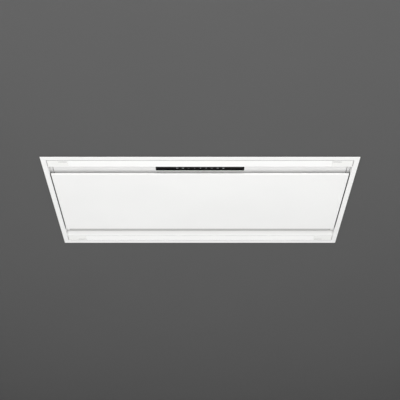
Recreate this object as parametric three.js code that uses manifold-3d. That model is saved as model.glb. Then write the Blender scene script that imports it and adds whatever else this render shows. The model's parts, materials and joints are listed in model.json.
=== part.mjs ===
// A ceiling range hood with perimeter suction, lit by two light strips.
//
// Millimetres, +Z up. The origin is the centre of the visible frame, on the plane of its underside.
// The cook stands on the -Y side, where the touch strip is. Everything above the frame's flange is
// hidden in the ceiling.

import * as THREE from "three";
import { mergeVertices } from "three/addons/utils/BufferGeometryUtils.js";
import Module from "manifold-3d";

// ---------------------------------------------------------------- driving dimensions

// Clearance between pieces that touch or are fastened to each other
const SEAT_GAP = 0.3;

// Visible frame: a flat flange under the ceiling, with an upright that stands in the cut-out
const FRAME_LENGTH = 1200;
const FRAME_DEPTH = 600;
const FLANGE_WIDTH = 20;
const FRAME_SHEET = 2;
const UPRIGHT_HEIGHT = 36;

// Foam strip between the flange and the ceiling
const GASKET_WIDTH = 9;
const GASKET_THICKNESS = 3;
const GASKET_INSET = 3;

// Housing: one sheet folded over front, top and rear, and two end plates
const HOUSING_HEIGHT = 300;
const HOUSING_SHEET = 1.5;
const HOUSING_BEND = 3;
const END_PLATE_FLANGE = 14;
const SWAGE_DEPTH = 3;
const SWAGE_WIDTH = 18;
const SWAGE_SPACING = 90;
const SWAGE_COUNT = 2;

// Channels along the two long sides, each folded from one sheet
const CHANNEL_SHEET = 1.2;
const CHANNEL_BEND = 1.8;
const LIGHT_POCKET_WIDTH = 37;
const LIGHT_POCKET_HEIGHT = 15;
const POCKET_FLANGE_HEIGHT = 17;
const FOLD_HEIGHT = 0.5;
const FOLD_RADIUS = 1.3;
const SLOPE_ANGLE = 57;
const CHANNEL_HEIGHT = 20;
const FILTER_LIP_HEIGHT = 12;
const FILTER_LIP_SETBACK = 130;

// Side trims that close the channels at the two short sides
const SIDE_TRIM_WIDTH = 11.5;
const SIDE_TRIM_JOINT = 2.4;
const SIDE_TRIM_HEIGHT = 12;

// Light strips, each with an unlit cap at both ends
const END_CAP_LENGTH = 80;
const LIGHT_EDGE_GAP = 2;
const PROFILE_WALL = 1.2;
const DIFFUSER_FACE = 1.5;
const DIFFUSER_LEG_HEIGHT = 5;
const LED_BOARD_WIDTH = 12;
const LED_BOARD_THICKNESS = 1.6;
const LED_PITCH = 50;
const LED_SIZE = 5;
const LED_HEIGHT = 0.9;
const RELEASE_SLOT_LENGTH = 32;
const RELEASE_SLOT_WIDTH = 2.5;
const RELEASE_SLOT_SETBACK = 7;

// Touch strip in the front channel
const TOUCH_GLASS_LENGTH = 342;
const TOUCH_GLASS_WIDTH = 30;
const TOUCH_GLASS_THICKNESS = 3;
const TOUCH_GLASS_SETBACK = 4.5;
const TOUCH_MODULE_MARGIN = 4;
const TOUCH_MODULE_HEIGHT = 11;

// Suction panel: a shallow tray with a stiffener inside, set in from the frame's upright
const PANEL_SIDE_GAP = 3.5;
const PANEL_SETBACK = 88.5;
const PANEL_SHEET = 1;
const STIFFENER_SHEET = 0.8;
const PANEL_FACE_HEIGHT = 3;
const PANEL_THICKNESS = 6;
const STIFFENER_EDGE_GAP = 1.9;
const RIB_SPACING = 132;
const RIB_WIDTH = 16;
const RIB_SLOPE = 6;

// Panel hinges, set in from the frame's ends
const HINGE_INSET = 180;
const HINGE_LENGTH = 60;
const HINGE_SHEET = 1.2;
const KNUCKLE_RADIUS = 2.7;
const HINGE_PIN_RADIUS = 1.2;
const HINGE_LEAF_LENGTH = 30;

// Magnets that hold the panel shut, set in from the frame's ends
const MAGNET_INSET = 180;
const MAGNET_LENGTH = 44;
const MAGNET_WIDTH = 16;
const MAGNET_SETBACK = 16;
const MAGNET_EAR = 9;
const MAGNET_EAR_THICKNESS = 1.6;

// Grease filters
const FILTER_COUNT = 3;
const FILTER_THICKNESS = 9.5;
const FILTER_SIDE_GAP = 0.6;
const FILTER_BAR = 10;
const MESH_THICKNESS = 0.8;
const MESH_DEPTH = 5;
const MESH_WAVES = 16;
const MESH_GRIP = 4;
const TAB_LENGTH = 8;
const TAB_WIDTH = 18;
const TAB_THICKNESS = 1.6;
const TAB_SPREAD = 220;
const WINDOW_MARGIN = 1;
const FILTER_RAIL_WIDTH = 30;
const FILTER_RAIL_HEIGHT = 10;
const FILTER_RAIL_SEAT = 12;

// Sliding latch of each filter
const LATCH_TRAVEL = 8;
const LATCH_REACH = 7;
const LATCH_LENGTH = 30;
const LATCH_WIDTH = 20;
const LATCH_THICKNESS = 3.6;
const LATCH_HOUSING_WIDTH = 44;
const LATCH_HOUSING_WALL = 3.5;
const LATCH_FLOOR = 1.2;
const LATCH_KNOB_LENGTH = 6;
const LATCH_KNOB_WIDTH = 14;
const LATCH_KNOB_DROP = 4;

// Blower scroll, with its axis along X and its outlet upwards
const WHEEL_RADIUS = 80;
const SCROLL_START_RADIUS = 84;
const SCROLL_END_RADIUS = 160;
const SCROLL_WIDTH = 150;
const SCROLL_WALL = 2.5;
const SCROLL_CLEARANCE = 6;
const TONGUE_ANGLE = 80;
const SCROLL_STEPS = 20;
const SCROLL_FLANGE = 14;
const SCROLL_FLANGE_THICKNESS = 3;
const BELL_RADIUS = 63;
const BELL_FLARE = 10;
const BELL_DEPTH = 9;
const BELL_WALL = 2;

// Blower wheel with two inlets
const BLADE_COUNT = 32;
const BLADE_DEPTH = 14;
const BLADE_THICKNESS = 0.9;
const BLADE_LEAN = 62;
const BLADE_STEPS = 2;
const WHEEL_END_GAP = 2.5;
const WHEEL_RING_WIDTH = 3;
const WHEEL_RING_DEPTH = 8;
const WHEEL_DISC = 2;
const HUB_RADIUS = 12;
const HUB_LENGTH = 20;

// Motor
const SHAFT_RADIUS = 4;
const SHAFT_LENGTH = 44;
const MOTOR_RADIUS = 46;
const MOTOR_LENGTH = 82;
const MOTOR_BOSS_RADIUS = 16;
const MOTOR_BOSS_HEIGHT = 4;
const MOTOR_EDGE = 6;
const BRACKET_RING_WIDTH = 8;
const BRACKET_RING_LENGTH = 10;
const BRACKET_ARM_WIDTH = 14;
const BRACKET_ARM_THICKNESS = 3;
const BRACKET_FOOT = 14;
const BRACKET_ARMS = 3;
const VENT_COUNT = 8;
const VENT_WIDTH = 5;
const VENT_LENGTH = 15;
const VENT_DEPTH = 5;
const VENT_RADIUS = 27;

// Run capacitor
const CAPACITOR_RADIUS = 17.5;
const CAPACITOR_HEIGHT = 60;
const CAPACITOR_STUD_RADIUS = 4;
const CAPACITOR_STUD_LENGTH = 12;
const TERMINAL_WIDTH = 6.3;
const TERMINAL_THICKNESS = 0.8;
const TERMINAL_LENGTH = 9;
const TERMINAL_SPACING = 12;
const CAPACITOR_OFFSET_X = 190;
const CAPACITOR_OFFSET_Y = -90;

// Outlet collar with two non-return flaps
const COLLAR_RADIUS = 74.5;
const COLLAR_WALL = 1.8;
const COLLAR_HEIGHT = 45;
const COLLAR_FLANGE_WIDTH = 18;
const COLLAR_FLANGE_THICKNESS = 2;
const FLAP_LEDGE_WIDTH = 4;
const FLAP_LEDGE_THICKNESS = 2;
const FLAP_LEDGE_HEIGHT = 8;
const FLAP_THICKNESS = 1.2;
const FLAP_EDGE_GAP = 1;
const FLAP_PIN_RADIUS = 1.4;
const FLAP_KNUCKLE_RADIUS = 2.6;
const FLAP_KNUCKLE_LENGTH = 26;
const FLAP_HINGE_GAP = 0.8;
const FLAP_CORNER = 8;
const PIN_BOSS_LENGTH = 5.5;
const PIN_BOSS_WIDTH = 6;

// Control box and mains inlet
const CONTROL_BOX_LENGTH = 210;
const CONTROL_BOX_DEPTH = 130;
const CONTROL_BOX_HEIGHT = 46;
const CONTROL_BOX_WALL = 2;
const CONTROL_BOX_INSET = 280;
const CONTROL_LID_LIP = 5;
const GLAND_RADIUS = 8;
const GLAND_CAP_RADIUS = 10;
const GLAND_NUT_RADIUS = 12;
const GLAND_NUT_HEIGHT = 5;
const GLAND_HEIGHT = 16;
const GLAND_BORE_RADIUS = 4.5;

// Hangers for four threaded rods, set in from the frame's edges
const HANGER_INSET = 80;
const HANGER_WIDTH = 40;
const HANGER_SPAN = 44;
const HANGER_FOOT = 22;
const HANGER_HEIGHT = 28;
const HANGER_SHEET = 2.5;
const HANGER_HOLE_RADIUS = 4.5;

// Facets of round pieces
const FINE_SEGMENTS = 32;
const COARSE_SEGMENTS = 18;
const PIN_SEGMENTS = 12;
const BEND_STEPS = 2;

// ---------------------------------------------------------------- sizes worked out from these

const openingX = FRAME_LENGTH / 2 - FLANGE_WIDTH;
const openingY = FRAME_DEPTH / 2 - FLANGE_WIDTH;
const housingInnerX = openingX + FRAME_SHEET + SEAT_GAP;
const housingInnerY = openingY + FRAME_SHEET + SEAT_GAP;
const housingOuterX = housingInnerX + HOUSING_SHEET;
const housingOuterY = housingInnerY + HOUSING_SHEET;
const housingBottom = FRAME_SHEET + SEAT_GAP;
const ceilingInside = HOUSING_HEIGHT - HOUSING_SHEET;

// The slope starts at a sharp fold, so its straight line meets the pocket's wall below that fold
const slopeStart = LIGHT_POCKET_WIDTH;
const foldCorner = FOLD_HEIGHT + FOLD_RADIUS - FOLD_RADIUS / Math.tan(degrees(90 - SLOPE_ANGLE) / 2);
const slopeEnd = slopeStart + (CHANNEL_HEIGHT - foldCorner) / Math.tan(degrees(SLOPE_ANGLE));
const filterHalfDepth = openingY - FILTER_LIP_SETBACK;
const channelTop = CHANNEL_HEIGHT + CHANNEL_SHEET;
const filterLipTop = CHANNEL_HEIGHT + FILTER_LIP_HEIGHT;
const channelLength = openingX - SEAT_GAP;
const lightLength = 2 * (openingX - END_CAP_LENGTH);
const trimOuterX = openingX - SEAT_GAP;
const trimInnerX = trimOuterX - SIDE_TRIM_WIDTH;
const flatHalfLength = trimInnerX - SIDE_TRIM_JOINT;

const panelHalfLength = openingX - PANEL_SIDE_GAP;
const panelHalfDepth = openingY - PANEL_SETBACK;
const panelTop = PANEL_FACE_HEIGHT + PANEL_THICKNESS;
const stiffenerTop = panelTop - SEAT_GAP;
const hingeX = FRAME_LENGTH / 2 - HINGE_INSET;
const hingeY = panelHalfDepth;
const hingeZ = CHANNEL_HEIGHT - SEAT_GAP - KNUCKLE_RADIUS;
const magnetX = FRAME_LENGTH / 2 - MAGNET_INSET;

const filterPitch = (2 * flatHalfLength) / FILTER_COUNT;
const filterBottom = CHANNEL_HEIGHT + SEAT_GAP;
const filterTop = filterBottom + FILTER_THICKNESS;
const latchBottom = filterBottom + LATCH_FLOOR + SEAT_GAP;

const scrollHalfWidth = SCROLL_WIDTH / 2;
const wheelHalfWidth = scrollHalfWidth - BELL_DEPTH - WHEEL_END_GAP;
const railTop = filterLipTop + SEAT_GAP + FILTER_RAIL_HEIGHT;
const blowerZ = railTop + SCROLL_CLEARANCE + SCROLL_WALL + scrollReach(270);
const tongueY = SCROLL_START_RADIUS * Math.cos(degrees(TONGUE_ANGLE));
const blowerY = -(tongueY + SCROLL_END_RADIUS) / 2;
const scrollTop = ceilingInside - SEAT_GAP;

const collarBottom = HOUSING_HEIGHT + SEAT_GAP;
const collarInner = COLLAR_RADIUS - COLLAR_WALL;
const ledgeTop = collarBottom + FLAP_LEDGE_HEIGHT;
const flapZ = ledgeTop + SEAT_GAP + FLAP_THICKNESS / 2;

const controlBoxX = CONTROL_BOX_INSET - FRAME_LENGTH / 2;
const hangerX = FRAME_LENGTH / 2 - HANGER_INSET;
const hangerY = FRAME_DEPTH / 2 - HANGER_INSET;

function degrees(angle) {
  return THREE.MathUtils.degToRad(angle);
}

// The scroll's inner radius at an angle from the outlet's side, in degrees the way the wheel turns.
function scrollReach(angle) {
  const share = (angle - TONGUE_ANGLE) / (360 - TONGUE_ANGLE);
  return THREE.MathUtils.lerp(SCROLL_START_RADIUS, SCROLL_END_RADIUS, share);
}

// ---------------------------------------------------------------- materials

function finish(color, roughness, metalness) {
  return new THREE.MeshStandardMaterial({ color, roughness, metalness });
}

const WHITE_PAINT = () => finish(0xf4f4f2, 0.38, 0);
const GALVANISED = () => finish(0xb4b8ba, 0.45, 0.9);
const ALUMINIUM = () => finish(0xc9cbcc, 0.4, 1);
const OPAL_PLASTIC = () => finish(0xfbfbf8, 0.35, 0);
const WHITE_PLASTIC = () => finish(0xeeeeea, 0.45, 0);
const BLACK_GLASS = () => finish(0x0b0b0c, 0.08, 0);
const BLACK_PLASTIC = () => finish(0x1c1c1e, 0.55, 0);
const GREY_PLASTIC = () => finish(0x55585b, 0.6, 0);
const BOARD_GREEN = () => finish(0x1f5a3a, 0.5, 0);
const BOARD_WHITE = () => finish(0xe9ebe6, 0.45, 0);
const STEEL = () => finish(0x9a9ea1, 0.35, 1);
const FOAM = () => finish(0x2a2a2b, 0.95, 0);

// ---------------------------------------------------------------- modelling helpers

const wasm = await Module();
wasm.setup();

function manifoldOf(vertProperties, triVerts) {
  return new wasm.Manifold(new wasm.Mesh({ numProp: 3, vertProperties, triVerts }));
}

// A closed three.js geometry as a solid with its faces outwards.
function toSolid(geometry) {
  const bare = new THREE.BufferGeometry();
  bare.setAttribute("position", geometry.getAttribute("position"));
  if (geometry.index) bare.setIndex(geometry.index);
  const merged = mergeVertices(bare, 1e-4);
  const vertices = merged.getAttribute("position").array;
  const corners = Uint32Array.from(merged.index.array);
  const used = [];
  for (let i = 0; i < corners.length; i += 3) {
    const [a, b, c] = corners.slice(i, i + 3);
    if (a !== b && b !== c && c !== a) used.push(a, b, c);
  }
  const made = manifoldOf(vertices, Uint32Array.from(used));
  if (made.volume() > 0) return made;
  return manifoldOf(vertices, Uint32Array.from(used.reverse()));
}

function toMesh(name, solid, material) {
  const { vertProperties, triVerts } = solid.getMesh();
  const geometry = new THREE.BufferGeometry();
  geometry.setAttribute("position", new THREE.BufferAttribute(vertProperties, 3));
  geometry.setIndex(new THREE.BufferAttribute(triVerts, 1));
  const mesh = new THREE.Mesh(geometry, material);
  mesh.name = name;
  return mesh;
}

function join(...solids) {
  return solids.reduce((whole, next) => whole.add(next));
}

function cut(solid, ...tools) {
  return tools.reduce((rest, tool) => rest.subtract(tool), solid);
}

// A block between two corners.
function block([x0, x1], [y0, y1], [z0, z1]) {
  const box = new THREE.BoxGeometry(x1 - x0, y1 - y0, z1 - z0);
  return toSolid(box.translate((x0 + x1) / 2, (y0 + y1) / 2, (z0 + z1) / 2));
}

// Both ends of a length centred on a point.
function around(centre, length) {
  return [centre - length / 2, centre + length / 2];
}

// An outline of [y, z] points, extruded along X.
function extrudeX(outline, [x0, x1]) {
  const shape = new THREE.Shape(outline.map(([y, z]) => new THREE.Vector2(y, z)));
  const geometry = new THREE.ExtrudeGeometry(shape, { depth: x1 - x0, bevelEnabled: false });
  const turn = new THREE.Matrix4().makeBasis(
    new THREE.Vector3(0, 1, 0),
    new THREE.Vector3(0, 0, 1),
    new THREE.Vector3(1, 0, 0),
  );
  return toSolid(geometry.applyMatrix4(turn).translate(x0, 0, 0));
}

// An outline of [x, z] points, extruded along Y.
function extrudeY(outline, [y0, y1]) {
  const swapped = outline.map(([x, z]) => [-x, z]);
  return extrudeX(swapped, [y0, y1]).rotate([0, 0, 90]);
}

// An outline of [x, y] points, extruded along Z.
function extrudeZ(outline, [z0, z1], hole = null) {
  const shape = new THREE.Shape(outline.map(([x, y]) => new THREE.Vector2(x, y)));
  if (hole) shape.holes.push(new THREE.Path(hole.map(([x, y]) => new THREE.Vector2(x, y))));
  const geometry = new THREE.ExtrudeGeometry(shape, { depth: z1 - z0, bevelEnabled: false });
  return toSolid(geometry.translate(0, 0, z0));
}

function rectangle(halfX, halfY) {
  return [
    [-halfX, -halfY],
    [halfX, -halfY],
    [halfX, halfY],
    [-halfX, halfY],
  ];
}

// A round piece from a profile of [radius, height] points, turned about Z.
function turned(profile, segments = FINE_SEGMENTS) {
  const points = profile.map(([radius, height]) => new THREE.Vector2(radius, height));
  const geometry = new THREE.LatheGeometry(points, segments);
  return toSolid(geometry.rotateX(Math.PI / 2));
}

function rod(radius, [z0, z1], segments = COARSE_SEGMENTS) {
  return turned([[0, z0], [radius, z0], [radius, z1], [0, z1]], segments);
}

// The same two, turned about X instead.
function turnedX(profile, segments = FINE_SEGMENTS) {
  return turned(profile, segments).rotate([0, 90, 0]);
}

function rodX(radius, [x0, x1], segments = COARSE_SEGMENTS) {
  return rod(radius, [x0, x1], segments).rotate([0, 90, 0]);
}

// A path whose corners are bends of one radius, apart from a corner that gives its own.
function bent(path, commonRadius) {
  const points = [path[0]];
  for (let i = 1; i < path.length - 1; i += 1) {
    const corner = new THREE.Vector2(...path[i]);
    const radius = path[i][2] ?? commonRadius;
    const back = new THREE.Vector2(...path[i - 1]).sub(corner);
    const ahead = new THREE.Vector2(...path[i + 1]).sub(corner);
    const halfAngle = Math.abs(back.angleTo(ahead)) / 2;
    const middle = back.clone().normalize().add(ahead.clone().normalize()).normalize();
    const centre = corner.clone().add(middle.multiplyScalar(radius / Math.sin(halfAngle)));
    const reach = radius / Math.tan(halfAngle);
    const first = corner.clone().add(back.setLength(reach)).sub(centre);
    const last = corner.clone().add(ahead.setLength(reach)).sub(centre);
    const sweep = Math.atan2(first.cross(last), first.dot(last));
    for (let step = 0; step <= BEND_STEPS; step += 1) {
      const spoke = first.clone().rotateAround(new THREE.Vector2(), (sweep * step) / BEND_STEPS);
      points.push([centre.x + spoke.x, centre.y + spoke.y]);
    }
  }
  points.push(path[path.length - 1]);
  return points;
}

// The outline of a folded sheet: the path of one face, and that path a thickness to its left.
function sheetOutline(path, thickness) {
  const normals = [];
  for (let i = 0; i < path.length - 1; i += 1) {
    const [dx, dy] = [path[i + 1][0] - path[i][0], path[i + 1][1] - path[i][1]];
    const length = Math.hypot(dx, dy);
    normals.push([-dy / length, dx / length]);
  }
  const other = path.map(([x, y], i) => {
    const before = normals[Math.max(i - 1, 0)];
    const after = normals[Math.min(i, normals.length - 1)];
    const share = thickness / (1 + before[0] * after[0] + before[1] * after[1]);
    return [x + (before[0] + after[0]) * share, y + (before[1] + after[1]) * share];
  });
  return [...path, ...other.reverse()];
}

function arc(radius, fromDegrees, toDegrees, steps) {
  return Array.from({ length: steps + 1 }, (_, step) => {
    const angle = degrees(fromDegrees + ((toDegrees - fromDegrees) * step) / steps);
    return [radius * Math.cos(angle), radius * Math.sin(angle)];
  });
}

// A copy turned half round about Z, for what repeats on the other long side.
function turnedRound(solid) {
  return solid.rotate([0, 0, 180]);
}

// ---------------------------------------------------------------- frame and housing

function flangeFrame() {
  const flange = extrudeZ(
    rectangle(FRAME_LENGTH / 2, FRAME_DEPTH / 2),
    [0, FRAME_SHEET],
    rectangle(openingX, openingY),
  );
  const upright = extrudeZ(
    rectangle(openingX + FRAME_SHEET, openingY + FRAME_SHEET),
    [0, UPRIGHT_HEIGHT],
    rectangle(openingX, openingY),
  );
  return join(flange, upright);
}

function ceilingGasket() {
  const outerX = FRAME_LENGTH / 2 - GASKET_INSET;
  const outerY = FRAME_DEPTH / 2 - GASKET_INSET;
  return extrudeZ(
    rectangle(outerX, outerY),
    [housingBottom, housingBottom + GASKET_THICKNESS],
    rectangle(outerX - GASKET_WIDTH, outerY - GASKET_WIDTH),
  );
}

// The heights of the stiffening swages pressed outwards in the housing's walls.
function swageHeights() {
  const middle = HOUSING_HEIGHT / 2;
  return Array.from(
    { length: SWAGE_COUNT },
    (_, i) => middle + (i - (SWAGE_COUNT - 1) / 2) * SWAGE_SPACING,
  );
}

// The bends of one swage, as [outwards, height], from below.
function swageBends(height) {
  const [half, crown] = [SWAGE_WIDTH / 2, SWAGE_WIDTH / 2 - SWAGE_DEPTH];
  return [
    [0, height - half],
    [SWAGE_DEPTH, height - crown],
    [SWAGE_DEPTH, height + crown],
    [0, height + half],
  ];
}

// Front wall, top and rear wall in one folded sheet, with the holes in its top.
function housingShell() {
  const path = [
    [housingOuterY, housingBottom],
    [housingOuterY, HOUSING_HEIGHT],
    [-housingOuterY, HOUSING_HEIGHT],
    [-housingOuterY, housingBottom],
  ];
  const folded = bent(path, HOUSING_BEND);
  const swages = swageHeights().flatMap(swageBends);
  const rearWall = swages.map(([outwards, z]) => [housingOuterY + outwards, z]);
  const frontWall = swages.map(([outwards, z]) => [-housingOuterY - outwards, z]).reverse();
  const swaged = [folded[0], ...rearWall, ...folded.slice(1, -1), ...frontWall, folded.at(-1)];
  const shell = extrudeX(sheetOutline(swaged, HOUSING_SHEET), around(0, 2 * housingOuterX));
  const through = around(HOUSING_HEIGHT, 4 * HOUSING_SHEET);
  return cut(
    shell,
    rod(collarInner, through, FINE_SEGMENTS),
    rod(GLAND_RADIUS + SEAT_GAP, through).translate([controlBoxX, 0, 0]),
    rod(CAPACITOR_STUD_RADIUS + SEAT_GAP, through).translate([
      CAPACITOR_OFFSET_X,
      CAPACITOR_OFFSET_Y,
      0,
    ]),
  );
}

// The right end plate with its three flanges folded inwards, rounded to fit the shell's bends.
function endPlate() {
  const halfDepth = housingInnerY - SEAT_GAP;
  const top = ceilingInside - SEAT_GAP;
  const inside = [
    [halfDepth, housingBottom],
    [halfDepth, top],
    [-halfDepth, top],
    [-halfDepth, housingBottom],
  ];
  const plateX = [housingInnerX, housingOuterX];
  const flangeX = [housingInnerX - END_PLATE_FLANGE, housingOuterX];
  const flangeZ = [UPRIGHT_HEIGHT + END_PLATE_FLANGE, top];
  const plate = join(
    block(plateX, [-halfDepth, halfDepth], [housingBottom, top]),
    block(flangeX, [-halfDepth, -halfDepth + HOUSING_SHEET], flangeZ),
    block(flangeX, [halfDepth - HOUSING_SHEET, halfDepth], flangeZ),
    block(flangeX, [-halfDepth, halfDepth], [top - HOUSING_SHEET, top]),
  );
  const rounded = plate.intersect(extrudeX(bent(inside, HOUSING_BEND), [0, housingOuterX]));
  const swageY = around(0, 2 * (halfDepth - 2 * END_PLATE_FLANGE));
  return swageHeights().reduce((pressed, height) => {
    const bends = swageBends(height);
    const crown = extrudeY(bends.map(([outwards, z]) => [housingOuterX + outwards, z]), swageY);
    const hollow = extrudeY(bends.map(([outwards, z]) => [housingInnerX + outwards, z]), swageY);
    return pressed.add(crown).subtract(hollow);
  }, rounded);
}

function frameAndHousing() {
  const end = endPlate();
  return [
    toMesh("flange_frame", flangeFrame(), WHITE_PAINT()),
    toMesh("ceiling_gasket", ceilingGasket(), FOAM()),
    toMesh("housing_shell", housingShell(), GALVANISED()),
    toMesh("housing_end_left", turnedRound(end), GALVANISED()),
    toMesh("housing_end_right", end, GALVANISED()),
  ];
}

// ---------------------------------------------------------------- channels and side trims

// The folded channel on the front side: light pocket, slope, flat and the lip that the filters meet.
// Its path starts at the frame's upright and is measured inwards from it.
function plainChannel() {
  const fromUpright = [
    [SEAT_GAP, LIGHT_POCKET_HEIGHT + POCKET_FLANGE_HEIGHT],
    [SEAT_GAP, LIGHT_POCKET_HEIGHT],
    [slopeStart, LIGHT_POCKET_HEIGHT],
    [slopeStart, foldCorner, FOLD_RADIUS],
    [slopeEnd, CHANNEL_HEIGHT],
    [FILTER_LIP_SETBACK, CHANNEL_HEIGHT],
    [FILTER_LIP_SETBACK, filterLipTop],
  ];
  const path = bent(fromUpright, CHANNEL_BEND).map(([inwards, z]) => [inwards - openingY, z]);
  const folded = extrudeX(sheetOutline(path, CHANNEL_SHEET), around(0, 2 * channelLength));
  const notchY = [slopeEnd + CHANNEL_BEND - openingY, 0];
  const notchZ = [FOLD_HEIGHT, filterLipTop + CHANNEL_SHEET];
  return cut(
    folded,
    block([flatHalfLength, openingX], notchY, notchZ),
    block([-openingX, -flatHalfLength], notchY, notchZ),
  );
}

// Windows in a lip, for what reaches over the flat from each filter.
function lipWindows(offsets, width, top) {
  const [y0, y1] = around(-filterHalfDepth, 6 * CHANNEL_SHEET);
  return filterCentres().flatMap((centre) =>
    offsets.map((offset) =>
      block(around(centre + offset, width + 2 * WINDOW_MARGIN), [y0, y1], [
        channelTop,
        top + WINDOW_MARGIN,
      ]),
    ),
  );
}

function filterCentres() {
  return Array.from(
    { length: FILTER_COUNT },
    (_, i) => (i - (FILTER_COUNT - 1) / 2) * filterPitch,
  );
}

function touchGlassY() {
  const start = slopeEnd + TOUCH_GLASS_SETBACK - openingY;
  return [start, start + TOUCH_GLASS_WIDTH];
}

function frontChannel() {
  const [y0, y1] = touchGlassY();
  const hole = block(
    around(0, TOUCH_GLASS_LENGTH + 2 * SEAT_GAP),
    [y0 - SEAT_GAP, y1 + SEAT_GAP],
    [CHANNEL_HEIGHT - CHANNEL_SHEET, channelTop + CHANNEL_SHEET],
  );
  const latchTop = latchBottom + LATCH_THICKNESS;
  return cut(plainChannel(), hole, ...lipWindows([0], LATCH_WIDTH, latchTop));
}

function rearChannel() {
  const tabTop = channelTop + SEAT_GAP + TAB_THICKNESS;
  const tabs = [-TAB_SPREAD / 2, TAB_SPREAD / 2];
  return turnedRound(cut(plainChannel(), ...lipWindows(tabs, TAB_WIDTH, tabTop)));
}

// The trim on the right short side: an upturned U that closes the flat's end.
function sideTrim() {
  const top = CHANNEL_HEIGHT + SIDE_TRIM_HEIGHT;
  const path = [
    [trimInnerX, top],
    [trimInnerX, CHANNEL_HEIGHT],
    [trimOuterX, CHANNEL_HEIGHT],
    [trimOuterX, top],
  ];
  const halfDepth = openingY - slopeEnd - CHANNEL_BEND - SEAT_GAP;
  return extrudeY(sheetOutline(bent(path, CHANNEL_BEND), CHANNEL_SHEET), around(0, 2 * halfDepth));
}

function channels() {
  const trim = sideTrim();
  return [
    toMesh("front_channel", frontChannel(), WHITE_PAINT()),
    toMesh("rear_channel", rearChannel(), WHITE_PAINT()),
    toMesh("left_side_trim", turnedRound(trim), WHITE_PAINT()),
    toMesh("right_side_trim", trim, WHITE_PAINT()),
  ];
}

// ---------------------------------------------------------------- light strips

const stripOuterY = -openingY + LIGHT_EDGE_GAP;
const stripInnerY = -openingY + LIGHT_POCKET_WIDTH - SEAT_GAP;
const profileTop = LIGHT_POCKET_HEIGHT - SEAT_GAP;
const diffuserTop = FOLD_HEIGHT + DIFFUSER_FACE;
const endCapStart = lightLength / 2 + SEAT_GAP;

// The aluminium channel that holds one strip, open downwards.
function ledProfile() {
  const bottom = diffuserTop + SEAT_GAP;
  const path = [
    [stripInnerY, bottom],
    [stripInnerY, profileTop],
    [stripOuterY, profileTop],
    [stripOuterY, bottom],
  ];
  const rounded = bent(path, CHANNEL_BEND);
  return extrudeX(sheetOutline(rounded, PROFILE_WALL), around(0, 2 * channelLength));
}

// The board with its row of light-emitting diodes underneath.
function ledBoard() {
  const middle = (stripOuterY + stripInnerY) / 2;
  const top = profileTop - PROFILE_WALL - SEAT_GAP;
  const bottom = top - LED_BOARD_THICKNESS;
  const board = block(around(0, lightLength), around(middle, LED_BOARD_WIDTH), [bottom, top]);
  const count = Math.floor(lightLength / LED_PITCH);
  const diodes = Array.from({ length: count }, (_, i) =>
    block(
      around((i - (count - 1) / 2) * LED_PITCH, LED_SIZE),
      around(middle, LED_SIZE),
      [bottom - LED_HEIGHT, top - LED_BOARD_THICKNESS / 2],
    ),
  );
  return join(board, ...diodes);
}

// The face and the two legs that snap into the profile, shared by diffuser and end caps.
function stripCover([x0, x1]) {
  const inset = PROFILE_WALL + SEAT_GAP;
  const legTop = diffuserTop + DIFFUSER_LEG_HEIGHT;
  return join(
    block([x0, x1], [stripOuterY, stripInnerY], [FOLD_HEIGHT, diffuserTop]),
    block([x0, x1], [stripOuterY + inset, stripOuterY + inset + PROFILE_WALL], [FOLD_HEIGHT, legTop]),
    block([x0, x1], [stripInnerY - inset - PROFILE_WALL, stripInnerY - inset], [FOLD_HEIGHT, legTop]),
  );
}

// The right-hand cap, with the slot where a blade releases it.
function ledEndCap() {
  const cap = stripCover([endCapStart, openingX - LIGHT_EDGE_GAP]);
  const slotY = stripOuterY + RELEASE_SLOT_SETBACK;
  return cut(
    cap,
    block(
      [endCapStart + RELEASE_SLOT_WIDTH, endCapStart + RELEASE_SLOT_WIDTH + RELEASE_SLOT_LENGTH],
      [slotY, slotY + RELEASE_SLOT_WIDTH],
      [0, LIGHT_POCKET_HEIGHT],
    ),
  );
}

function lightStrips() {
  const cap = ledEndCap();
  const mirrored = cap.mirror([1, 0, 0]);
  const parts = [
    ["led_profile", ledProfile(), ALUMINIUM],
    ["led_board", ledBoard(), BOARD_WHITE],
    ["led_diffuser", stripCover(around(0, lightLength)), OPAL_PLASTIC],
  ];
  const both = parts.flatMap(([name, solid, material]) => [
    toMesh(`front_${name}`, solid, material()),
    toMesh(`rear_${name}`, turnedRound(solid), material()),
  ]);
  return [
    ...both,
    toMesh("front_led_cap_right", cap, WHITE_PLASTIC()),
    toMesh("front_led_cap_left", mirrored, WHITE_PLASTIC()),
    toMesh("rear_led_cap_left", turnedRound(cap), WHITE_PLASTIC()),
    toMesh("rear_led_cap_right", turnedRound(mirrored), WHITE_PLASTIC()),
  ];
}

// ---------------------------------------------------------------- touch strip

function touchStrip() {
  const [y0, y1] = touchGlassY();
  const glassTop = CHANNEL_HEIGHT + TOUCH_GLASS_THICKNESS;
  const glass = block(around(0, TOUCH_GLASS_LENGTH), [y0, y1], [CHANNEL_HEIGHT, glassTop]);
  const halfLength = TOUCH_GLASS_LENGTH / 2 + TOUCH_MODULE_MARGIN;
  const moduleY = [y0 - TOUCH_MODULE_MARGIN / 2, y1 + TOUCH_MODULE_MARGIN];
  const moduleZ = [channelTop + SEAT_GAP, channelTop + SEAT_GAP + TOUCH_MODULE_HEIGHT];
  const tray = cut(
    block([-halfLength, halfLength], moduleY, moduleZ),
    block(
      around(0, TOUCH_GLASS_LENGTH + 2 * SEAT_GAP),
      [y0 - SEAT_GAP, y1 + SEAT_GAP],
      [CHANNEL_HEIGHT, glassTop + SEAT_GAP],
    ),
  );
  return [
    toMesh("touch_glass", glass, BLACK_GLASS()),
    toMesh("touch_module", tray, BLACK_PLASTIC()),
  ];
}

// ---------------------------------------------------------------- suction panel and its hinges

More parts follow.
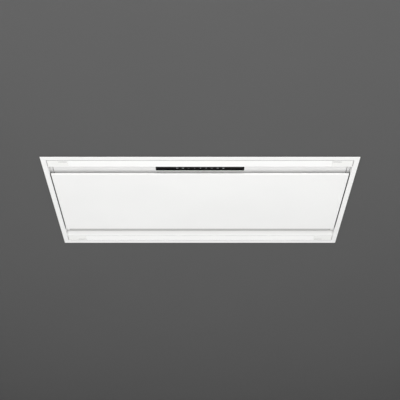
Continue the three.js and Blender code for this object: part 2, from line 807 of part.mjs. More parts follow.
function suctionPanel() {
  return cut(
    block(
      around(0, 2 * panelHalfLength),
      around(0, 2 * panelHalfDepth),
      [PANEL_FACE_HEIGHT, panelTop],
    ),
    block(
      around(0, 2 * (panelHalfLength - PANEL_SHEET)),
      around(0, 2 * (panelHalfDepth - PANEL_SHEET)),
      [PANEL_FACE_HEIGHT + PANEL_SHEET, panelTop + PANEL_SHEET],
    ),
  );
}

// A sheet with two hat ribs and turned-down edges, set into the tray.
function panelStiffener() {
  const edge = panelHalfDepth - PANEL_SHEET - STIFFENER_EDGE_GAP;
  const low = PANEL_FACE_HEIGHT + PANEL_SHEET + SEAT_GAP;
  const ribEdge = (side, reach) => side * (RIB_SPACING / 2) + reach;
  const rib = (side) => [
    [ribEdge(side, RIB_WIDTH / 2 + RIB_SLOPE), stiffenerTop],
    [ribEdge(side, RIB_WIDTH / 2), low + STIFFENER_SHEET],
    [ribEdge(side, -RIB_WIDTH / 2), low + STIFFENER_SHEET],
    [ribEdge(side, -RIB_WIDTH / 2 - RIB_SLOPE), stiffenerTop],
  ];
  const path = [
    [edge, low],
    [edge, stiffenerTop],
    ...rib(1),
    ...rib(-1),
    [-edge, stiffenerTop],
    [-edge, low],
  ];
  const halfLength = panelHalfLength - PANEL_SHEET - SEAT_GAP;
  return extrudeX(sheetOutline(path, STIFFENER_SHEET), around(0, 2 * halfLength));
}

// One knuckle around the hinge's axis, before its bore.
function knuckle([x0, x1]) {
  return rodX(KNUCKLE_RADIUS, [x0, x1], PIN_SEGMENTS).translate([0, hingeY, hingeZ]);
}

function hingeBore() {
  const bore = rodX(HINGE_PIN_RADIUS + SEAT_GAP, around(0, 2 * HINGE_LENGTH), PIN_SEGMENTS);
  return bore.translate([0, hingeY, hingeZ]);
}

// The outer knuckles and their leaf under the rear channel's flat.
function fixedLeaf() {
  const half = HINGE_LENGTH / 2;
  const inner = HINGE_LENGTH / 6 + SEAT_GAP;
  const top = hingeZ + KNUCKLE_RADIUS;
  const leafZ = [top - HINGE_SHEET, top];
  const leafEnd = hingeY - KNUCKLE_RADIUS - SEAT_GAP;
  return cut(
    join(
      knuckle([-half, -inner]),
      knuckle([inner, half]),
      block([-half, -inner], [leafEnd - HINGE_SHEET, hingeY], leafZ),
      block([inner, half], [leafEnd - HINGE_SHEET, hingeY], leafZ),
      block([-half, half], [hingeY - HINGE_LEAF_LENGTH, leafEnd], leafZ),
    ),
    hingeBore(),
  );
}

// The middle knuckle and its leaf inside the panel's rear wall.
function movingLeaf() {
  const half = HINGE_LENGTH / 2;
  const inner = HINGE_LENGTH / 6;
  const leafY = [hingeY - KNUCKLE_RADIUS, hingeY - KNUCKLE_RADIUS + HINGE_SHEET];
  const low = PANEL_FACE_HEIGHT + PANEL_SHEET + SEAT_GAP;
  const wideTop = hingeZ - KNUCKLE_RADIUS - 2 * SEAT_GAP;
  return cut(
    join(
      knuckle([-inner, inner]),
      block([-half, half], leafY, [low, wideTop]),
      block([-inner, inner], leafY, [low, hingeZ]),
    ),
    hingeBore(),
  );
}

function hingePin() {
  const pin = rodX(HINGE_PIN_RADIUS, around(0, HINGE_LENGTH), PIN_SEGMENTS);
  return pin.translate([0, hingeY, hingeZ]);
}

// A magnet in its case under the front channel's flat, with an ear for a screw at each end.
function magnetCatch() {
  const top = CHANNEL_HEIGHT - SEAT_GAP;
  const start = -panelHalfDepth + MAGNET_SETBACK;
  const magnetY = [start, start + MAGNET_WIDTH];
  const earX = around(0, MAGNET_LENGTH + 2 * MAGNET_EAR);
  return join(
    block(around(0, MAGNET_LENGTH), magnetY, [stiffenerTop + SEAT_GAP, top]),
    block(earX, magnetY, [top - MAGNET_EAR_THICKNESS, top]),
  );
}

function panelAndHinges() {
  const sides = [
    ["left", -1],
    ["right", 1],
  ];
  const paired = sides.flatMap(([side, sign]) => {
    const atHinge = [sign * hingeX, 0, 0];
    const atMagnet = [sign * magnetX, 0, 0];
    return [
      toMesh(`hinge_fixed_leaf_${side}`, fixedLeaf().translate(atHinge), STEEL()),
      toMesh(`hinge_panel_leaf_${side}`, movingLeaf().translate(atHinge), STEEL()),
      toMesh(`hinge_pin_${side}`, hingePin().translate(atHinge), STEEL()),
      toMesh(`magnet_catch_${side}`, magnetCatch().translate(atMagnet), BLACK_PLASTIC()),
    ];
  });
  return [
    toMesh("suction_panel", suctionPanel(), WHITE_PAINT()),
    toMesh("panel_stiffener", panelStiffener(), ALUMINIUM()),
    ...paired,
  ];
}

// ---------------------------------------------------------------- grease filters

const filterHalfLength = filterPitch / 2 - FILTER_SIDE_GAP;
const filterEdgeY = filterHalfDepth - FILTER_SIDE_GAP;
const grooveZ = [filterBottom + (FILTER_THICKNESS - MESH_DEPTH) / 2 - SEAT_GAP];
grooveZ.push(grooveZ[0] + MESH_DEPTH + 2 * SEAT_GAP);
const latchRearY = -filterHalfDepth - LATCH_REACH + LATCH_LENGTH;

// A filter's frame: four bars grooved for the mesh, tabs at the rear and the latch's housing in front.
function filterFrame() {
  const innerX = filterHalfLength - FILTER_BAR;
  const innerY = filterEdgeY - FILTER_BAR;
  const frame = extrudeZ(
    rectangle(filterHalfLength, filterEdgeY),
    [filterBottom, filterTop],
    rectangle(innerX, innerY),
  );
  const housingY = [-filterEdgeY, latchRearY + LATCH_TRAVEL + SEAT_GAP + LATCH_HOUSING_WALL];
  const housing = block(around(0, LATCH_HOUSING_WIDTH), housingY, [filterBottom, filterTop]);
  const groove = block(
    around(0, 2 * (innerX + MESH_GRIP)),
    [housingY[1] - MESH_GRIP, innerY + MESH_GRIP],
    grooveZ,
  );
  const grooveBesides = [-1, 1].map((side) =>
    block(
      side < 0
        ? [-innerX - MESH_GRIP, -LATCH_HOUSING_WIDTH / 2 + MESH_GRIP]
        : [LATCH_HOUSING_WIDTH / 2 - MESH_GRIP, innerX + MESH_GRIP],
      [-innerY - MESH_GRIP, housingY[1]],
      grooveZ,
    ),
  );
  const tabs = [-TAB_SPREAD / 2, TAB_SPREAD / 2].map((x) =>
    block(
      around(x, TAB_WIDTH),
      [filterEdgeY - TAB_THICKNESS, filterHalfDepth + TAB_LENGTH],
      [channelTop + SEAT_GAP, channelTop + SEAT_GAP + TAB_THICKNESS],
    ),
  );
  const guide = block(
    around(0, LATCH_WIDTH + 2 * SEAT_GAP),
    [-filterHalfDepth, latchRearY + LATCH_TRAVEL + SEAT_GAP],
    [latchBottom - SEAT_GAP, latchBottom + LATCH_THICKNESS + SEAT_GAP],
  );
  const knobY = latchKnobY();
  const knobWindow = block(
    around(0, LATCH_KNOB_WIDTH + 2 * SEAT_GAP),
    [knobY[0] - SEAT_GAP, knobY[1] + LATCH_TRAVEL + SEAT_GAP],
    [filterBottom - SEAT_GAP, latchBottom],
  );
  return cut(join(frame, housing, ...tabs), groove, ...grooveBesides, guide, knobWindow);
}

// Where the thumb knob lies along Y when the latch is out.
function latchKnobY() {
  const middle = (-filterEdgeY + latchRearY) / 2 + LATCH_KNOB_LENGTH / 2;
  return around(middle, LATCH_KNOB_LENGTH);
}

// The bolt that slides over the front channel's flat, with its thumb knob underneath.
function filterLatch() {
  const bolt = block(
    around(0, LATCH_WIDTH),
    [-filterHalfDepth - LATCH_REACH, latchRearY],
    [latchBottom, latchBottom + LATCH_THICKNESS],
  );
  const knob = block(around(0, LATCH_KNOB_WIDTH), latchKnobY(), [
    filterBottom - LATCH_KNOB_DROP,
    latchBottom + LATCH_THICKNESS / 2,
  ]);
  return join(bolt, knob);
}

// Pleated aluminium mesh as one wavy sheet, cut out round the latch's housing.
function filterMesh() {
  const halfLength = filterHalfLength - FILTER_BAR + MESH_GRIP - SEAT_GAP;
  const halfDepth = filterEdgeY - FILTER_BAR + MESH_GRIP - SEAT_GAP;
  const low = grooveZ[0] + SEAT_GAP;
  const high = grooveZ[1] - SEAT_GAP - MESH_THICKNESS;
  const pitch = (2 * halfLength) / MESH_WAVES;
  const path = [];
  for (let wave = 0; wave < MESH_WAVES; wave += 1) {
    path.push([-halfLength + wave * pitch, low], [-halfLength + (wave + 0.5) * pitch, high]);
  }
  path.push([halfLength, low]);
  const above = path.map(([x, z]) => [x, z + MESH_THICKNESS]).reverse();
  const housingEnd = latchRearY + LATCH_TRAVEL + SEAT_GAP + LATCH_HOUSING_WALL;
  const room = block(
    around(0, LATCH_HOUSING_WIDTH - 2 * MESH_GRIP + 2 * SEAT_GAP),
    [-filterHalfDepth, housingEnd - MESH_GRIP + SEAT_GAP],
    [filterBottom, filterTop],
  );
  const beside = block(
    around(0, LATCH_HOUSING_WIDTH + 2 * SEAT_GAP),
    [-filterHalfDepth, -filterEdgeY + FILTER_BAR],
    [filterBottom, filterTop],
  );
  return cut(extrudeY([...path, ...above], around(0, 2 * halfDepth)), room, beside);
}

// A hat-shaped rail over the joint between two filters, resting on both lips.
function filterRail() {
  const low = filterLipTop + SEAT_GAP;
  const path = [
    [FILTER_RAIL_WIDTH / 2, low],
    [FILTER_RAIL_WIDTH / 4, low],
    [FILTER_RAIL_WIDTH / 4, low + FILTER_RAIL_HEIGHT - CHANNEL_SHEET],
    [-FILTER_RAIL_WIDTH / 4, low + FILTER_RAIL_HEIGHT - CHANNEL_SHEET],
    [-FILTER_RAIL_WIDTH / 4, low],
    [-FILTER_RAIL_WIDTH / 2, low],
  ];
  const outline = sheetOutline(path.reverse(), CHANNEL_SHEET);
  return extrudeY(outline, around(0, 2 * (filterHalfDepth + FILTER_RAIL_SEAT)));
}

function filters() {
  const names = ["left", "centre", "right"];
  const sets = filterCentres().flatMap((centre, i) => {
    const name = names[i] ?? `extra_${i}`;
    const at = [centre, 0, 0];
    return [
      toMesh(`filter_frame_${name}`, filterFrame().translate(at), ALUMINIUM()),
      toMesh(`filter_mesh_${name}`, filterMesh().translate(at), ALUMINIUM()),
      toMesh(`filter_latch_${name}`, filterLatch().translate(at), BLACK_PLASTIC()),
    ];
  });
  const rails = filterCentres()
    .slice(1)
    .map((centre, i) => {
      const name = ["left", "right"][i] ?? `extra_${i}`;
      const at = [centre - filterPitch / 2, 0, 0];
      return toMesh(`filter_rail_${name}`, filterRail().translate(at), GALVANISED());
    });
  return [...sets, ...rails];
}

// ---------------------------------------------------------------- blower

// The scroll's outline about the wheel's axis: a spiral that widens from the tongue to the outlet.
function scrollOutline(offset, top) {
  const leftWall = tongueY - offset;
  const startAngle = THREE.MathUtils.radToDeg(Math.acos(leftWall / (SCROLL_START_RADIUS + offset)));
  const spiral = Array.from({ length: SCROLL_STEPS + 1 }, (_, step) => {
    const angle = startAngle + ((360 - startAngle) * step) / SCROLL_STEPS;
    const radius = scrollReach(Math.max(angle, TONGUE_ANGLE)) + offset;
    return [radius * Math.cos(degrees(angle)), radius * Math.sin(degrees(angle))];
  });
  const rightWall = SCROLL_END_RADIUS + offset;
  return [...spiral, [rightWall, top], [leftWall, top]];
}

// The bell mouth that leads air from the side into the wheel.
function bellMouth() {
  const [inner, outer] = [scrollHalfWidth - BELL_DEPTH, scrollHalfWidth];
  const flare = (radius, thickness) =>
    arc(1, 180, 90, BEND_STEPS + 1).map(([across, along]) => [
      radius + BELL_FLARE * (1 + across) + thickness,
      inner + (outer - inner) * along,
    ]);
  const inside = flare(BELL_RADIUS, 0);
  const outside = flare(BELL_RADIUS, BELL_WALL).reverse();
  return turnedX([...inside, ...outside, inside[0]]);
}

// The right half of the scroll: side wall with its bell mouth, spiral wall and half the top flange.
function scrollHalf() {
  const top = scrollTop - blowerZ;
  const x = [SEAT_GAP / 2, scrollHalfWidth];
  const outer = extrudeX(scrollOutline(SCROLL_WALL, top), x);
  const cavity = extrudeX(scrollOutline(0, top + SCROLL_WALL), [-1, scrollHalfWidth - SCROLL_WALL]);
  const flange = block(
    [x[0], scrollHalfWidth + SCROLL_FLANGE],
    [tongueY - SCROLL_WALL - SCROLL_FLANGE, SCROLL_END_RADIUS + SCROLL_WALL + SCROLL_FLANGE],
    [top - SCROLL_FLANGE_THICKNESS, top],
  );
  const inlet = rodX(
    BELL_RADIUS + BELL_FLARE + BELL_WALL / 2,
    [scrollHalfWidth - 2 * SCROLL_WALL, scrollHalfWidth + SCROLL_WALL],
    FINE_SEGMENTS,
  );
  const half = cut(join(outer, flange), cavity, inlet);
  return join(half, bellMouth()).translate([0, blowerY, blowerZ]);
}

// One forward-curved blade across the wheel, at the top of the wheel.
function blade() {
  const inner = WHEEL_RADIUS - BLADE_DEPTH;
  const lean = degrees(BLADE_LEAN);
  const turnRadius = BLADE_DEPTH / Math.sin(lean);
  const centreLine = Array.from({ length: BLADE_STEPS + 1 }, (_, step) => {
    const angle = (lean * step) / BLADE_STEPS;
    return [-turnRadius * (1 - Math.cos(angle)), inner + turnRadius * Math.sin(angle)];
  });
  return extrudeX(sheetOutline(centreLine, BLADE_THICKNESS), around(0, 2 * wheelHalfWidth - 1));
}

// The wheel: curved blades between two end rings, on a disc with its hub in the middle.
function impeller() {
  const single = blade();
  const blades = Array.from({ length: BLADE_COUNT }, (_, i) =>
    single.rotate([(360 / BLADE_COUNT) * i, 0, 0]),
  );
  const ring = (x0) =>
    turnedX([
      [WHEEL_RADIUS - WHEEL_RING_DEPTH, x0],
      [WHEEL_RADIUS, x0],
      [WHEEL_RADIUS, x0 + WHEEL_RING_WIDTH],
      [WHEEL_RADIUS - WHEEL_RING_DEPTH, x0 + WHEEL_RING_WIDTH],
      [WHEEL_RADIUS - WHEEL_RING_DEPTH, x0],
    ]);
  const disc = rodX(WHEEL_RADIUS, around(0, WHEEL_DISC), FINE_SEGMENTS);
  const hub = rodX(HUB_RADIUS, [-HUB_LENGTH / 2, HUB_LENGTH / 2]);
  const bore = rodX(SHAFT_RADIUS + SEAT_GAP, around(0, 2 * HUB_LENGTH));
  const bladed = wasm.Manifold.union(blades);
  const whole = join(bladed, ring(-wheelHalfWidth), ring(wheelHalfWidth - WHEEL_RING_WIDTH), disc, hub);
  return cut(whole, bore).translate([0, blowerY, blowerZ]);
}

const motorStart = HUB_LENGTH / 2 + 2;
const motorEnd = motorStart + MOTOR_LENGTH;
const shaftStart = -HUB_LENGTH / 2 - 2;

function motorShaft() {
  return rodX(SHAFT_RADIUS, [shaftStart, shaftStart + SHAFT_LENGTH]).translate([
    0,
    blowerY,
    blowerZ,
  ]);
}

// The motor's casing, with a ring of vents in its far end.
function motor() {
  const boreEnd = shaftStart + SHAFT_LENGTH + SEAT_GAP;
  const bore = SHAFT_RADIUS + SEAT_GAP;
  const shoulder = motorStart + MOTOR_BOSS_HEIGHT;
  const casing = turnedX([
    [0, boreEnd],
    [bore, boreEnd],
    [bore, motorStart],
    [MOTOR_BOSS_RADIUS, motorStart],
    [MOTOR_BOSS_RADIUS, shoulder],
    [MOTOR_RADIUS - MOTOR_EDGE, shoulder],
    [MOTOR_RADIUS, shoulder + MOTOR_EDGE],
    [MOTOR_RADIUS, motorEnd - MOTOR_EDGE],
    [MOTOR_RADIUS - MOTOR_EDGE, motorEnd],
    [0, motorEnd],
  ]);
  const vent = block(
    [motorEnd - VENT_DEPTH, motorEnd + VENT_DEPTH],
    around(0, VENT_WIDTH),
    around(VENT_RADIUS, VENT_LENGTH),
  );
  const vents = Array.from({ length: VENT_COUNT }, (_, i) =>
    vent.rotate([(360 / VENT_COUNT) * i, 0, 0]),
  );
  return cut(casing, ...vents).translate([0, blowerY, blowerZ]);
}

// A ring round the motor with arms that reach the scroll's side wall outside the bell mouth.
function motorBracket() {
  const ringInner = MOTOR_RADIUS + SEAT_GAP;
  const ringOuter = ringInner + BRACKET_RING_WIDTH;
  const start = scrollHalfWidth + SEAT_GAP;
  const ring = turnedX([
    [ringInner, start],
    [ringOuter, start],
    [ringOuter, start + BRACKET_RING_LENGTH],
    [ringInner, start + BRACKET_RING_LENGTH],
    [ringInner, start],
  ]);
  const bellEdge = BELL_RADIUS + BELL_FLARE + BELL_WALL;
  const arm = block(
    [start, start + BRACKET_ARM_THICKNESS],
    around(0, BRACKET_ARM_WIDTH),
    [ringOuter - BRACKET_RING_WIDTH / 2, bellEdge + BRACKET_FOOT],
  );
  const arms = Array.from({ length: BRACKET_ARMS }, (_, i) =>
    arm.rotate([-60 + (360 / BRACKET_ARMS) * i, 0, 0]),
  );
  return join(ring, ...arms).translate([0, blowerY, blowerZ]);
}

// A can with its fixing stud through the housing's top and two blade terminals below.
function capacitor() {
  const top = ceilingInside - SEAT_GAP;
  const bottom = top - CAPACITOR_HEIGHT;
  const can = turned(
    [
      [0, bottom],
      [CAPACITOR_RADIUS, bottom],
      [CAPACITOR_RADIUS, top],
      [CAPACITOR_STUD_RADIUS, top],
      [CAPACITOR_STUD_RADIUS, top + CAPACITOR_STUD_LENGTH],
      [0, top + CAPACITOR_STUD_LENGTH],
    ],
    COARSE_SEGMENTS,
  );
  const terminals = [-1, 1].map((side) =>
    block(around((side * TERMINAL_SPACING) / 2, TERMINAL_THICKNESS), around(0, TERMINAL_WIDTH), [
      bottom - TERMINAL_LENGTH,
      bottom + TERMINAL_LENGTH,
    ]),
  );
  return join(can, ...terminals).translate([CAPACITOR_OFFSET_X, CAPACITOR_OFFSET_Y, 0]);
}

function blower() {
  const half = scrollHalf();
  return [
    toMesh("scroll_right", half, BLACK_PLASTIC()),
    toMesh("scroll_left", half.mirror([1, 0, 0]), BLACK_PLASTIC()),
    toMesh("impeller", impeller(), BLACK_PLASTIC()),
    toMesh("motor_shaft", motorShaft(), STEEL()),
    toMesh("motor", motor(), STEEL()),
    toMesh("motor_bracket", motorBracket(), GALVANISED()),
    toMesh("capacitor", capacitor(), ALUMINIUM()),
  ];
}

// ---------------------------------------------------------------- outlet collar and flaps

function outletCollar() {
  const top = collarBottom + COLLAR_HEIGHT;
  const flangeTop = collarBottom + COLLAR_FLANGE_THICKNESS;
  const ledgeInner = collarInner - FLAP_LEDGE_WIDTH;
  const ledgeBottom = ledgeTop - FLAP_LEDGE_THICKNESS;
  const wall = turned([
    [collarInner, collarBottom],
    [COLLAR_RADIUS + COLLAR_FLANGE_WIDTH, collarBottom],
    [COLLAR_RADIUS + COLLAR_FLANGE_WIDTH, flangeTop],
    [COLLAR_RADIUS, flangeTop],
    [COLLAR_RADIUS, top],
    [collarInner, top],
    [collarInner, ledgeTop],
    [ledgeInner, ledgeTop],
    [ledgeInner, ledgeBottom],
    [collarInner, ledgeBottom],
    [collarInner, collarBottom],
  ]);
  const bossX = [collarInner - PIN_BOSS_LENGTH, collarInner + COLLAR_WALL / 2];
  const bossZ = [ledgeBottom, flapZ + FLAP_KNUCKLE_RADIUS];
  const boss = block(bossX, around(0, PIN_BOSS_WIDTH), bossZ);
  const pinHole = rodX(
    FLAP_PIN_RADIUS + SEAT_GAP,
    around(0, 2 * collarInner),
    PIN_SEGMENTS,
  ).translate([0, 0, flapZ]);
  return cut(join(wall, boss, turnedRound(boss)), pinHole);
}

// The rear flap: half a disc on the hinge pin, with two knuckles.
function flap() {
  const radius = collarInner - FLAP_EDGE_GAP;
  const start = FLAP_KNUCKLE_RADIUS + FLAP_HINGE_GAP;
  const hingeHalf = collarInner - PIN_BOSS_LENGTH - FLAP_EDGE_GAP;
  const corner = THREE.MathUtils.radToDeg(Math.asin(FLAP_CORNER / radius));
  const outline = [
    [-hingeHalf, FLAP_CORNER],
    [-hingeHalf, start],
    [hingeHalf, start],
    [hingeHalf, FLAP_CORNER],
    ...arc(radius, corner, 180 - corner, COARSE_SEGMENTS / 2),
  ];
  const plateZ = around(flapZ, FLAP_THICKNESS);
  const pitch = FLAP_KNUCKLE_LENGTH + 2 * SEAT_GAP;
  const knuckles = [-1.5, 0.5].map((place) => {
    const x = around(place * pitch, FLAP_KNUCKLE_LENGTH);
    const tube = rodX(FLAP_KNUCKLE_RADIUS, x, PIN_SEGMENTS).translate([0, 0, flapZ]);
    return join(tube, block(x, [0, start + FLAP_HINGE_GAP], plateZ));
  });
  const bore = rodX(FLAP_PIN_RADIUS + SEAT_GAP, around(0, 2 * radius), PIN_SEGMENTS);
  return cut(join(extrudeZ(outline, plateZ), ...knuckles), bore.translate([0, 0, flapZ]));
}

function outlet() {
  const rear = flap();
  const pin = rodX(FLAP_PIN_RADIUS, around(0, 2 * (collarInner - SEAT_GAP)), PIN_SEGMENTS);
  return [
    toMesh("outlet_collar", outletCollar(), WHITE_PLASTIC()),
    toMesh("flap_pin", pin.translate([0, 0, flapZ]), STEEL()),
    toMesh("backdraft_flap_rear", rear, WHITE_PLASTIC()),
    toMesh("backdraft_flap_front", turnedRound(rear), WHITE_PLASTIC()),
  ];
}

// ---------------------------------------------------------------- controls and hangers

function controls() {
  const top = ceilingInside - SEAT_GAP;
  const bottom = top - CONTROL_BOX_HEIGHT;
  const boxX = around(controlBoxX, CONTROL_BOX_LENGTH);
  const boxY = around(0, CONTROL_BOX_DEPTH);
  const shrink = ([low, high], by) => [low + by, high - by];
  const box = cut(
    block(boxX, boxY, [bottom, top]),
    block(shrink(boxX, CONTROL_BOX_WALL), shrink(boxY, CONTROL_BOX_WALL), [
      bottom - CONTROL_BOX_WALL,
      top - CONTROL_BOX_WALL,
    ]),
    rod(GLAND_RADIUS + SEAT_GAP, around(top, 4 * CONTROL_BOX_WALL)).translate([controlBoxX, 0, 0]),
  );
  const lidTop = bottom - SEAT_GAP;
  const lipInset = CONTROL_BOX_WALL + SEAT_GAP;
  const lid = cut(
    join(
      block(boxX, boxY, [lidTop - CONTROL_BOX_WALL, lidTop]),
      block(shrink(boxX, lipInset), shrink(boxY, lipInset), [lidTop, lidTop + CONTROL_LID_LIP]),
    ),
    block(shrink(boxX, lipInset + CONTROL_BOX_WALL), shrink(boxY, lipInset + CONTROL_BOX_WALL), [
      lidTop,
      lidTop + 2 * CONTROL_LID_LIP,
    ]),
  );
  return [
    toMesh("control_box", box, GREY_PLASTIC()),
    toMesh("control_box_lid", lid, GREY_PLASTIC()),
    toMesh("cable_gland", cableGland(top - CONTROL_BOX_WALL), BLACK_PLASTIC()),
  ];
}

// A threaded tube through the housing and the box, with a hexagon outside and a rounded cap on it.
function cableGland(boxInside) {
  const hexagonBottom = HOUSING_HEIGHT + SEAT_GAP;
  const hexagonTop = hexagonBottom + GLAND_NUT_HEIGHT;
  const top = hexagonBottom + GLAND_HEIGHT;
  const tubeBottom = boxInside - GLAND_NUT_HEIGHT;
  const body = turned(
    [
      [GLAND_BORE_RADIUS, tubeBottom],
      [GLAND_RADIUS, tubeBottom],
      [GLAND_RADIUS, hexagonTop],
      [GLAND_CAP_RADIUS, hexagonTop],
      [GLAND_CAP_RADIUS, (hexagonTop + top) / 2],
      [GLAND_RADIUS, top],
      [GLAND_BORE_RADIUS, top],
      [GLAND_BORE_RADIUS, tubeBottom],
    ],
    COARSE_SEGMENTS,
  );
  const hexagon = cut(
    rod(GLAND_NUT_RADIUS, [hexagonBottom, hexagonTop], 6),
    rod((GLAND_BORE_RADIUS + GLAND_RADIUS) / 2, around(hexagonBottom, 4 * GLAND_NUT_HEIGHT)),
  );
  return join(body, hexagon).translate([controlBoxX, 0, 0]);
}

// A hat-shaped bracket on the housing's top, with a hole for a threaded rod.
function hanger() {
  const low = HOUSING_HEIGHT + SEAT_GAP;
  const high = low + HANGER_HEIGHT;
  const path = [
    [-HANGER_SPAN / 2 - HANGER_FOOT, low],
    [-HANGER_SPAN / 2, low],
    [-HANGER_SPAN / 2, high - HANGER_SHEET],
    [HANGER_SPAN / 2, high - HANGER_SHEET],
    [HANGER_SPAN / 2, low],
    [HANGER_SPAN / 2 + HANGER_FOOT, low],
  ];
  const hat = extrudeX(sheetOutline(path, HANGER_SHEET), around(0, HANGER_WIDTH));
  return cut(hat, rod(HANGER_HOLE_RADIUS, around(high, 4 * HANGER_SHEET)));
}

function hangers() {
  const places = [
    ["front_left", -1, -1],
    ["front_right", 1, -1],
    ["rear_left", -1, 1],
    ["rear_right", 1, 1],
  ];
  return places.map(([name, sideX, sideY]) => {
    const at = [sideX * hangerX, sideY * hangerY, 0];
    return toMesh(`hanger_${name}`, hanger().translate(at), GALVANISED());
  });
}

// ---------------------------------------------------------------- the whole hood

const hood = new THREE.Group();
hood.name = "ceiling_hood";
hood.add(
  ...frameAndHousing(),
  ...channels(),
  ...lightStrips(),
  ...touchStrip(),
  ...panelAndHinges(),
  ...filters(),
  ...blower(),
  ...outlet(),
  ...controls(),
  ...hangers(),
);

export default hood;
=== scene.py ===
"""A flush ceiling range hood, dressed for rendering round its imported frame. Metres, +Z up.

The pieces are modelled here in fine detail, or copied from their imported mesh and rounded. The
wheel, the light boards and the filters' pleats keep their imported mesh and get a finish.
"""

import json
import logging
import math
from contextlib import contextmanager
from dataclasses import dataclass, field
from enum import Enum
from typing import Callable, Iterator, Sequence

import bmesh
import bpy
from mathutils import Matrix, Vector


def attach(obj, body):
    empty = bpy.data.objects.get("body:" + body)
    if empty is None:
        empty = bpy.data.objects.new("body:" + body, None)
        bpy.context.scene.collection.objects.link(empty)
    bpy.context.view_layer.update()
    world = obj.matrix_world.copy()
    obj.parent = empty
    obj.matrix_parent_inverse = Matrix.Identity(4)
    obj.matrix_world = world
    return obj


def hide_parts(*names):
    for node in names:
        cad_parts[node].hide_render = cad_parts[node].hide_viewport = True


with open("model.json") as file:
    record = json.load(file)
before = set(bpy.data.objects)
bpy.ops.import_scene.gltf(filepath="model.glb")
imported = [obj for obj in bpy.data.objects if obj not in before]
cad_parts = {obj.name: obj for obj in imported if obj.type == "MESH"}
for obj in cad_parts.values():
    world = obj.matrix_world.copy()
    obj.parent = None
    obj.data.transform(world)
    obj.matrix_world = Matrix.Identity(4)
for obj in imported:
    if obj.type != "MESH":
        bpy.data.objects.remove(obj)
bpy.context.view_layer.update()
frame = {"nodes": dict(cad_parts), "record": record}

log = logging.getLogger("hood")

MM = 0.001
CLOSE = 0.05 * MM  # places nearer to each other than this count as one
MERGED = 0.01 * MM  # vertices nearer to each other than this become one
FLAT_ANGLE = 0.5  # faces that bend by fewer degrees become one face
SHARP_ANGLE = 35  # edges that bend by more degrees are rounded
FILTER_PITCH = 377.2 * MM

Point = tuple[float, float]
Colour = tuple[float, float, float]


class Axis(Enum):
    """The direction that a folded sheet or a round piece runs along."""

    X = 0
    Y = 1
    Z = 2

    def vector(self, length: float) -> Vector:
        """A vector of a length along this axis."""
        return Vector([length if self.value == i else 0.0 for i in range(3)])

    def spot(self, point: Point, along: float) -> Vector:
        """The place of a section's point, across and up, somewhere along X or Y."""
        across, height = point
        return Vector((along, across, height) if self is Axis.X else (across, along, height))


class Side(Enum):
    """The long side of the hood that a piece belongs to."""

    FRONT = "front"
    REAR = "rear"

    @property
    def sign(self) -> float:
        """-1 on the front side and 1 on the rear side."""
        return -1.0 if self is Side.FRONT else 1.0


class Hand(Enum):
    """The short side of the hood that a piece belongs to."""

    LEFT = "left"
    RIGHT = "right"

    @property
    def sign(self) -> int:
        """-1 on the left and 1 on the right."""
        return -1 if self is Hand.LEFT else 1


class Slot(Enum):
    """The record's material slots."""

    WHITE_PAINT = "white_paint"
    GALVANISED = "galvanised_steel"
    ALUMINIUM = "aluminium"
    FILTER_MESH = "filter_mesh"
    CIRCUIT_BOARD = "circuit_board"
    OPAL = "opal_diffuser"
    WHITE_PLASTIC = "white_plastic"
    BLACK_GLASS = "black_glass"
    BLACK_PLASTIC = "black_plastic"
    GREY_PLASTIC = "grey_plastic"
    BRIGHT_STEEL = "bright_steel"
    FOAM = "foam"


# ---------------------------------------------------------------- the workbench


def activate(piece: bpy.types.Object) -> None:
    """Makes a piece the only selected object and the active one.

    Args:
        piece: the object to work on.
    """
    if bpy.context.object and bpy.context.object.mode != "OBJECT":
        bpy.ops.object.mode_set(mode="OBJECT")
    bpy.ops.object.select_all(action="DESELECT")
    piece.select_set(True)
    bpy.context.view_layer.objects.active = piece


@contextmanager
def editing(piece: bpy.types.Object, mode: str = "EDGE") -> Iterator[None]:
    """Opens a piece in edit mode with nothing selected, and closes it again.

    Args:
        piece: the object to edit.
        mode: the selection mode, VERT, EDGE or FACE.
    """
    activate(piece)
    bpy.ops.object.mode_set(mode="EDIT")
    bpy.ops.mesh.select_mode(type=mode)
    bpy.ops.mesh.select_all(action="DESELECT")
    yield
    bpy.ops.object.mode_set(mode="OBJECT")


def pick_faces(piece: bpy.types.Object, test: Callable[[Vector], bool]) -> None:
    """Selects the faces whose centre passes a test, in edit mode.

    Args:
        piece: the object in edit mode.
        test: takes a face's centre.
    """
    bpy.ops.mesh.select_all(action="DESELECT")
    shape = bmesh.from_edit_mesh(piece.data)
    for face in shape.faces:
        if test(face.calc_center_median()):
            face.select_set(True)
    shape.select_flush_mode()
    bmesh.update_edit_mesh(piece.data)


def pick_edges(piece: bpy.types.Object, test: Callable[[Vector, Vector], bool]) -> None:
    """Selects the edges whose two ends pass a test, in edit mode.

    Args:
        piece: the object in edit mode.
        test: takes an edge's two ends.
    """
    shape = bmesh.from_edit_mesh(piece.data)
    for edge in shape.edges:
        edge.select_set(test(edge.verts[0].co, edge.verts[1].co))
    shape.select_flush_mode()
    bmesh.update_edit_mesh(piece.data)


def apply_modifier(piece: bpy.types.Object, kind: str, **settings: object) -> None:
    """Adds a modifier to a piece, sets it and applies it.

    Args:
        piece: the object to change.
        kind: the modifier's type.
        settings: its properties by name.
    """
    activate(piece)
    modifier = piece.modifiers.new(kind.lower(), kind)
    for name, value in settings.items():
        setattr(modifier, name, value)
    bpy.ops.object.modifier_apply(modifier=modifier.name)


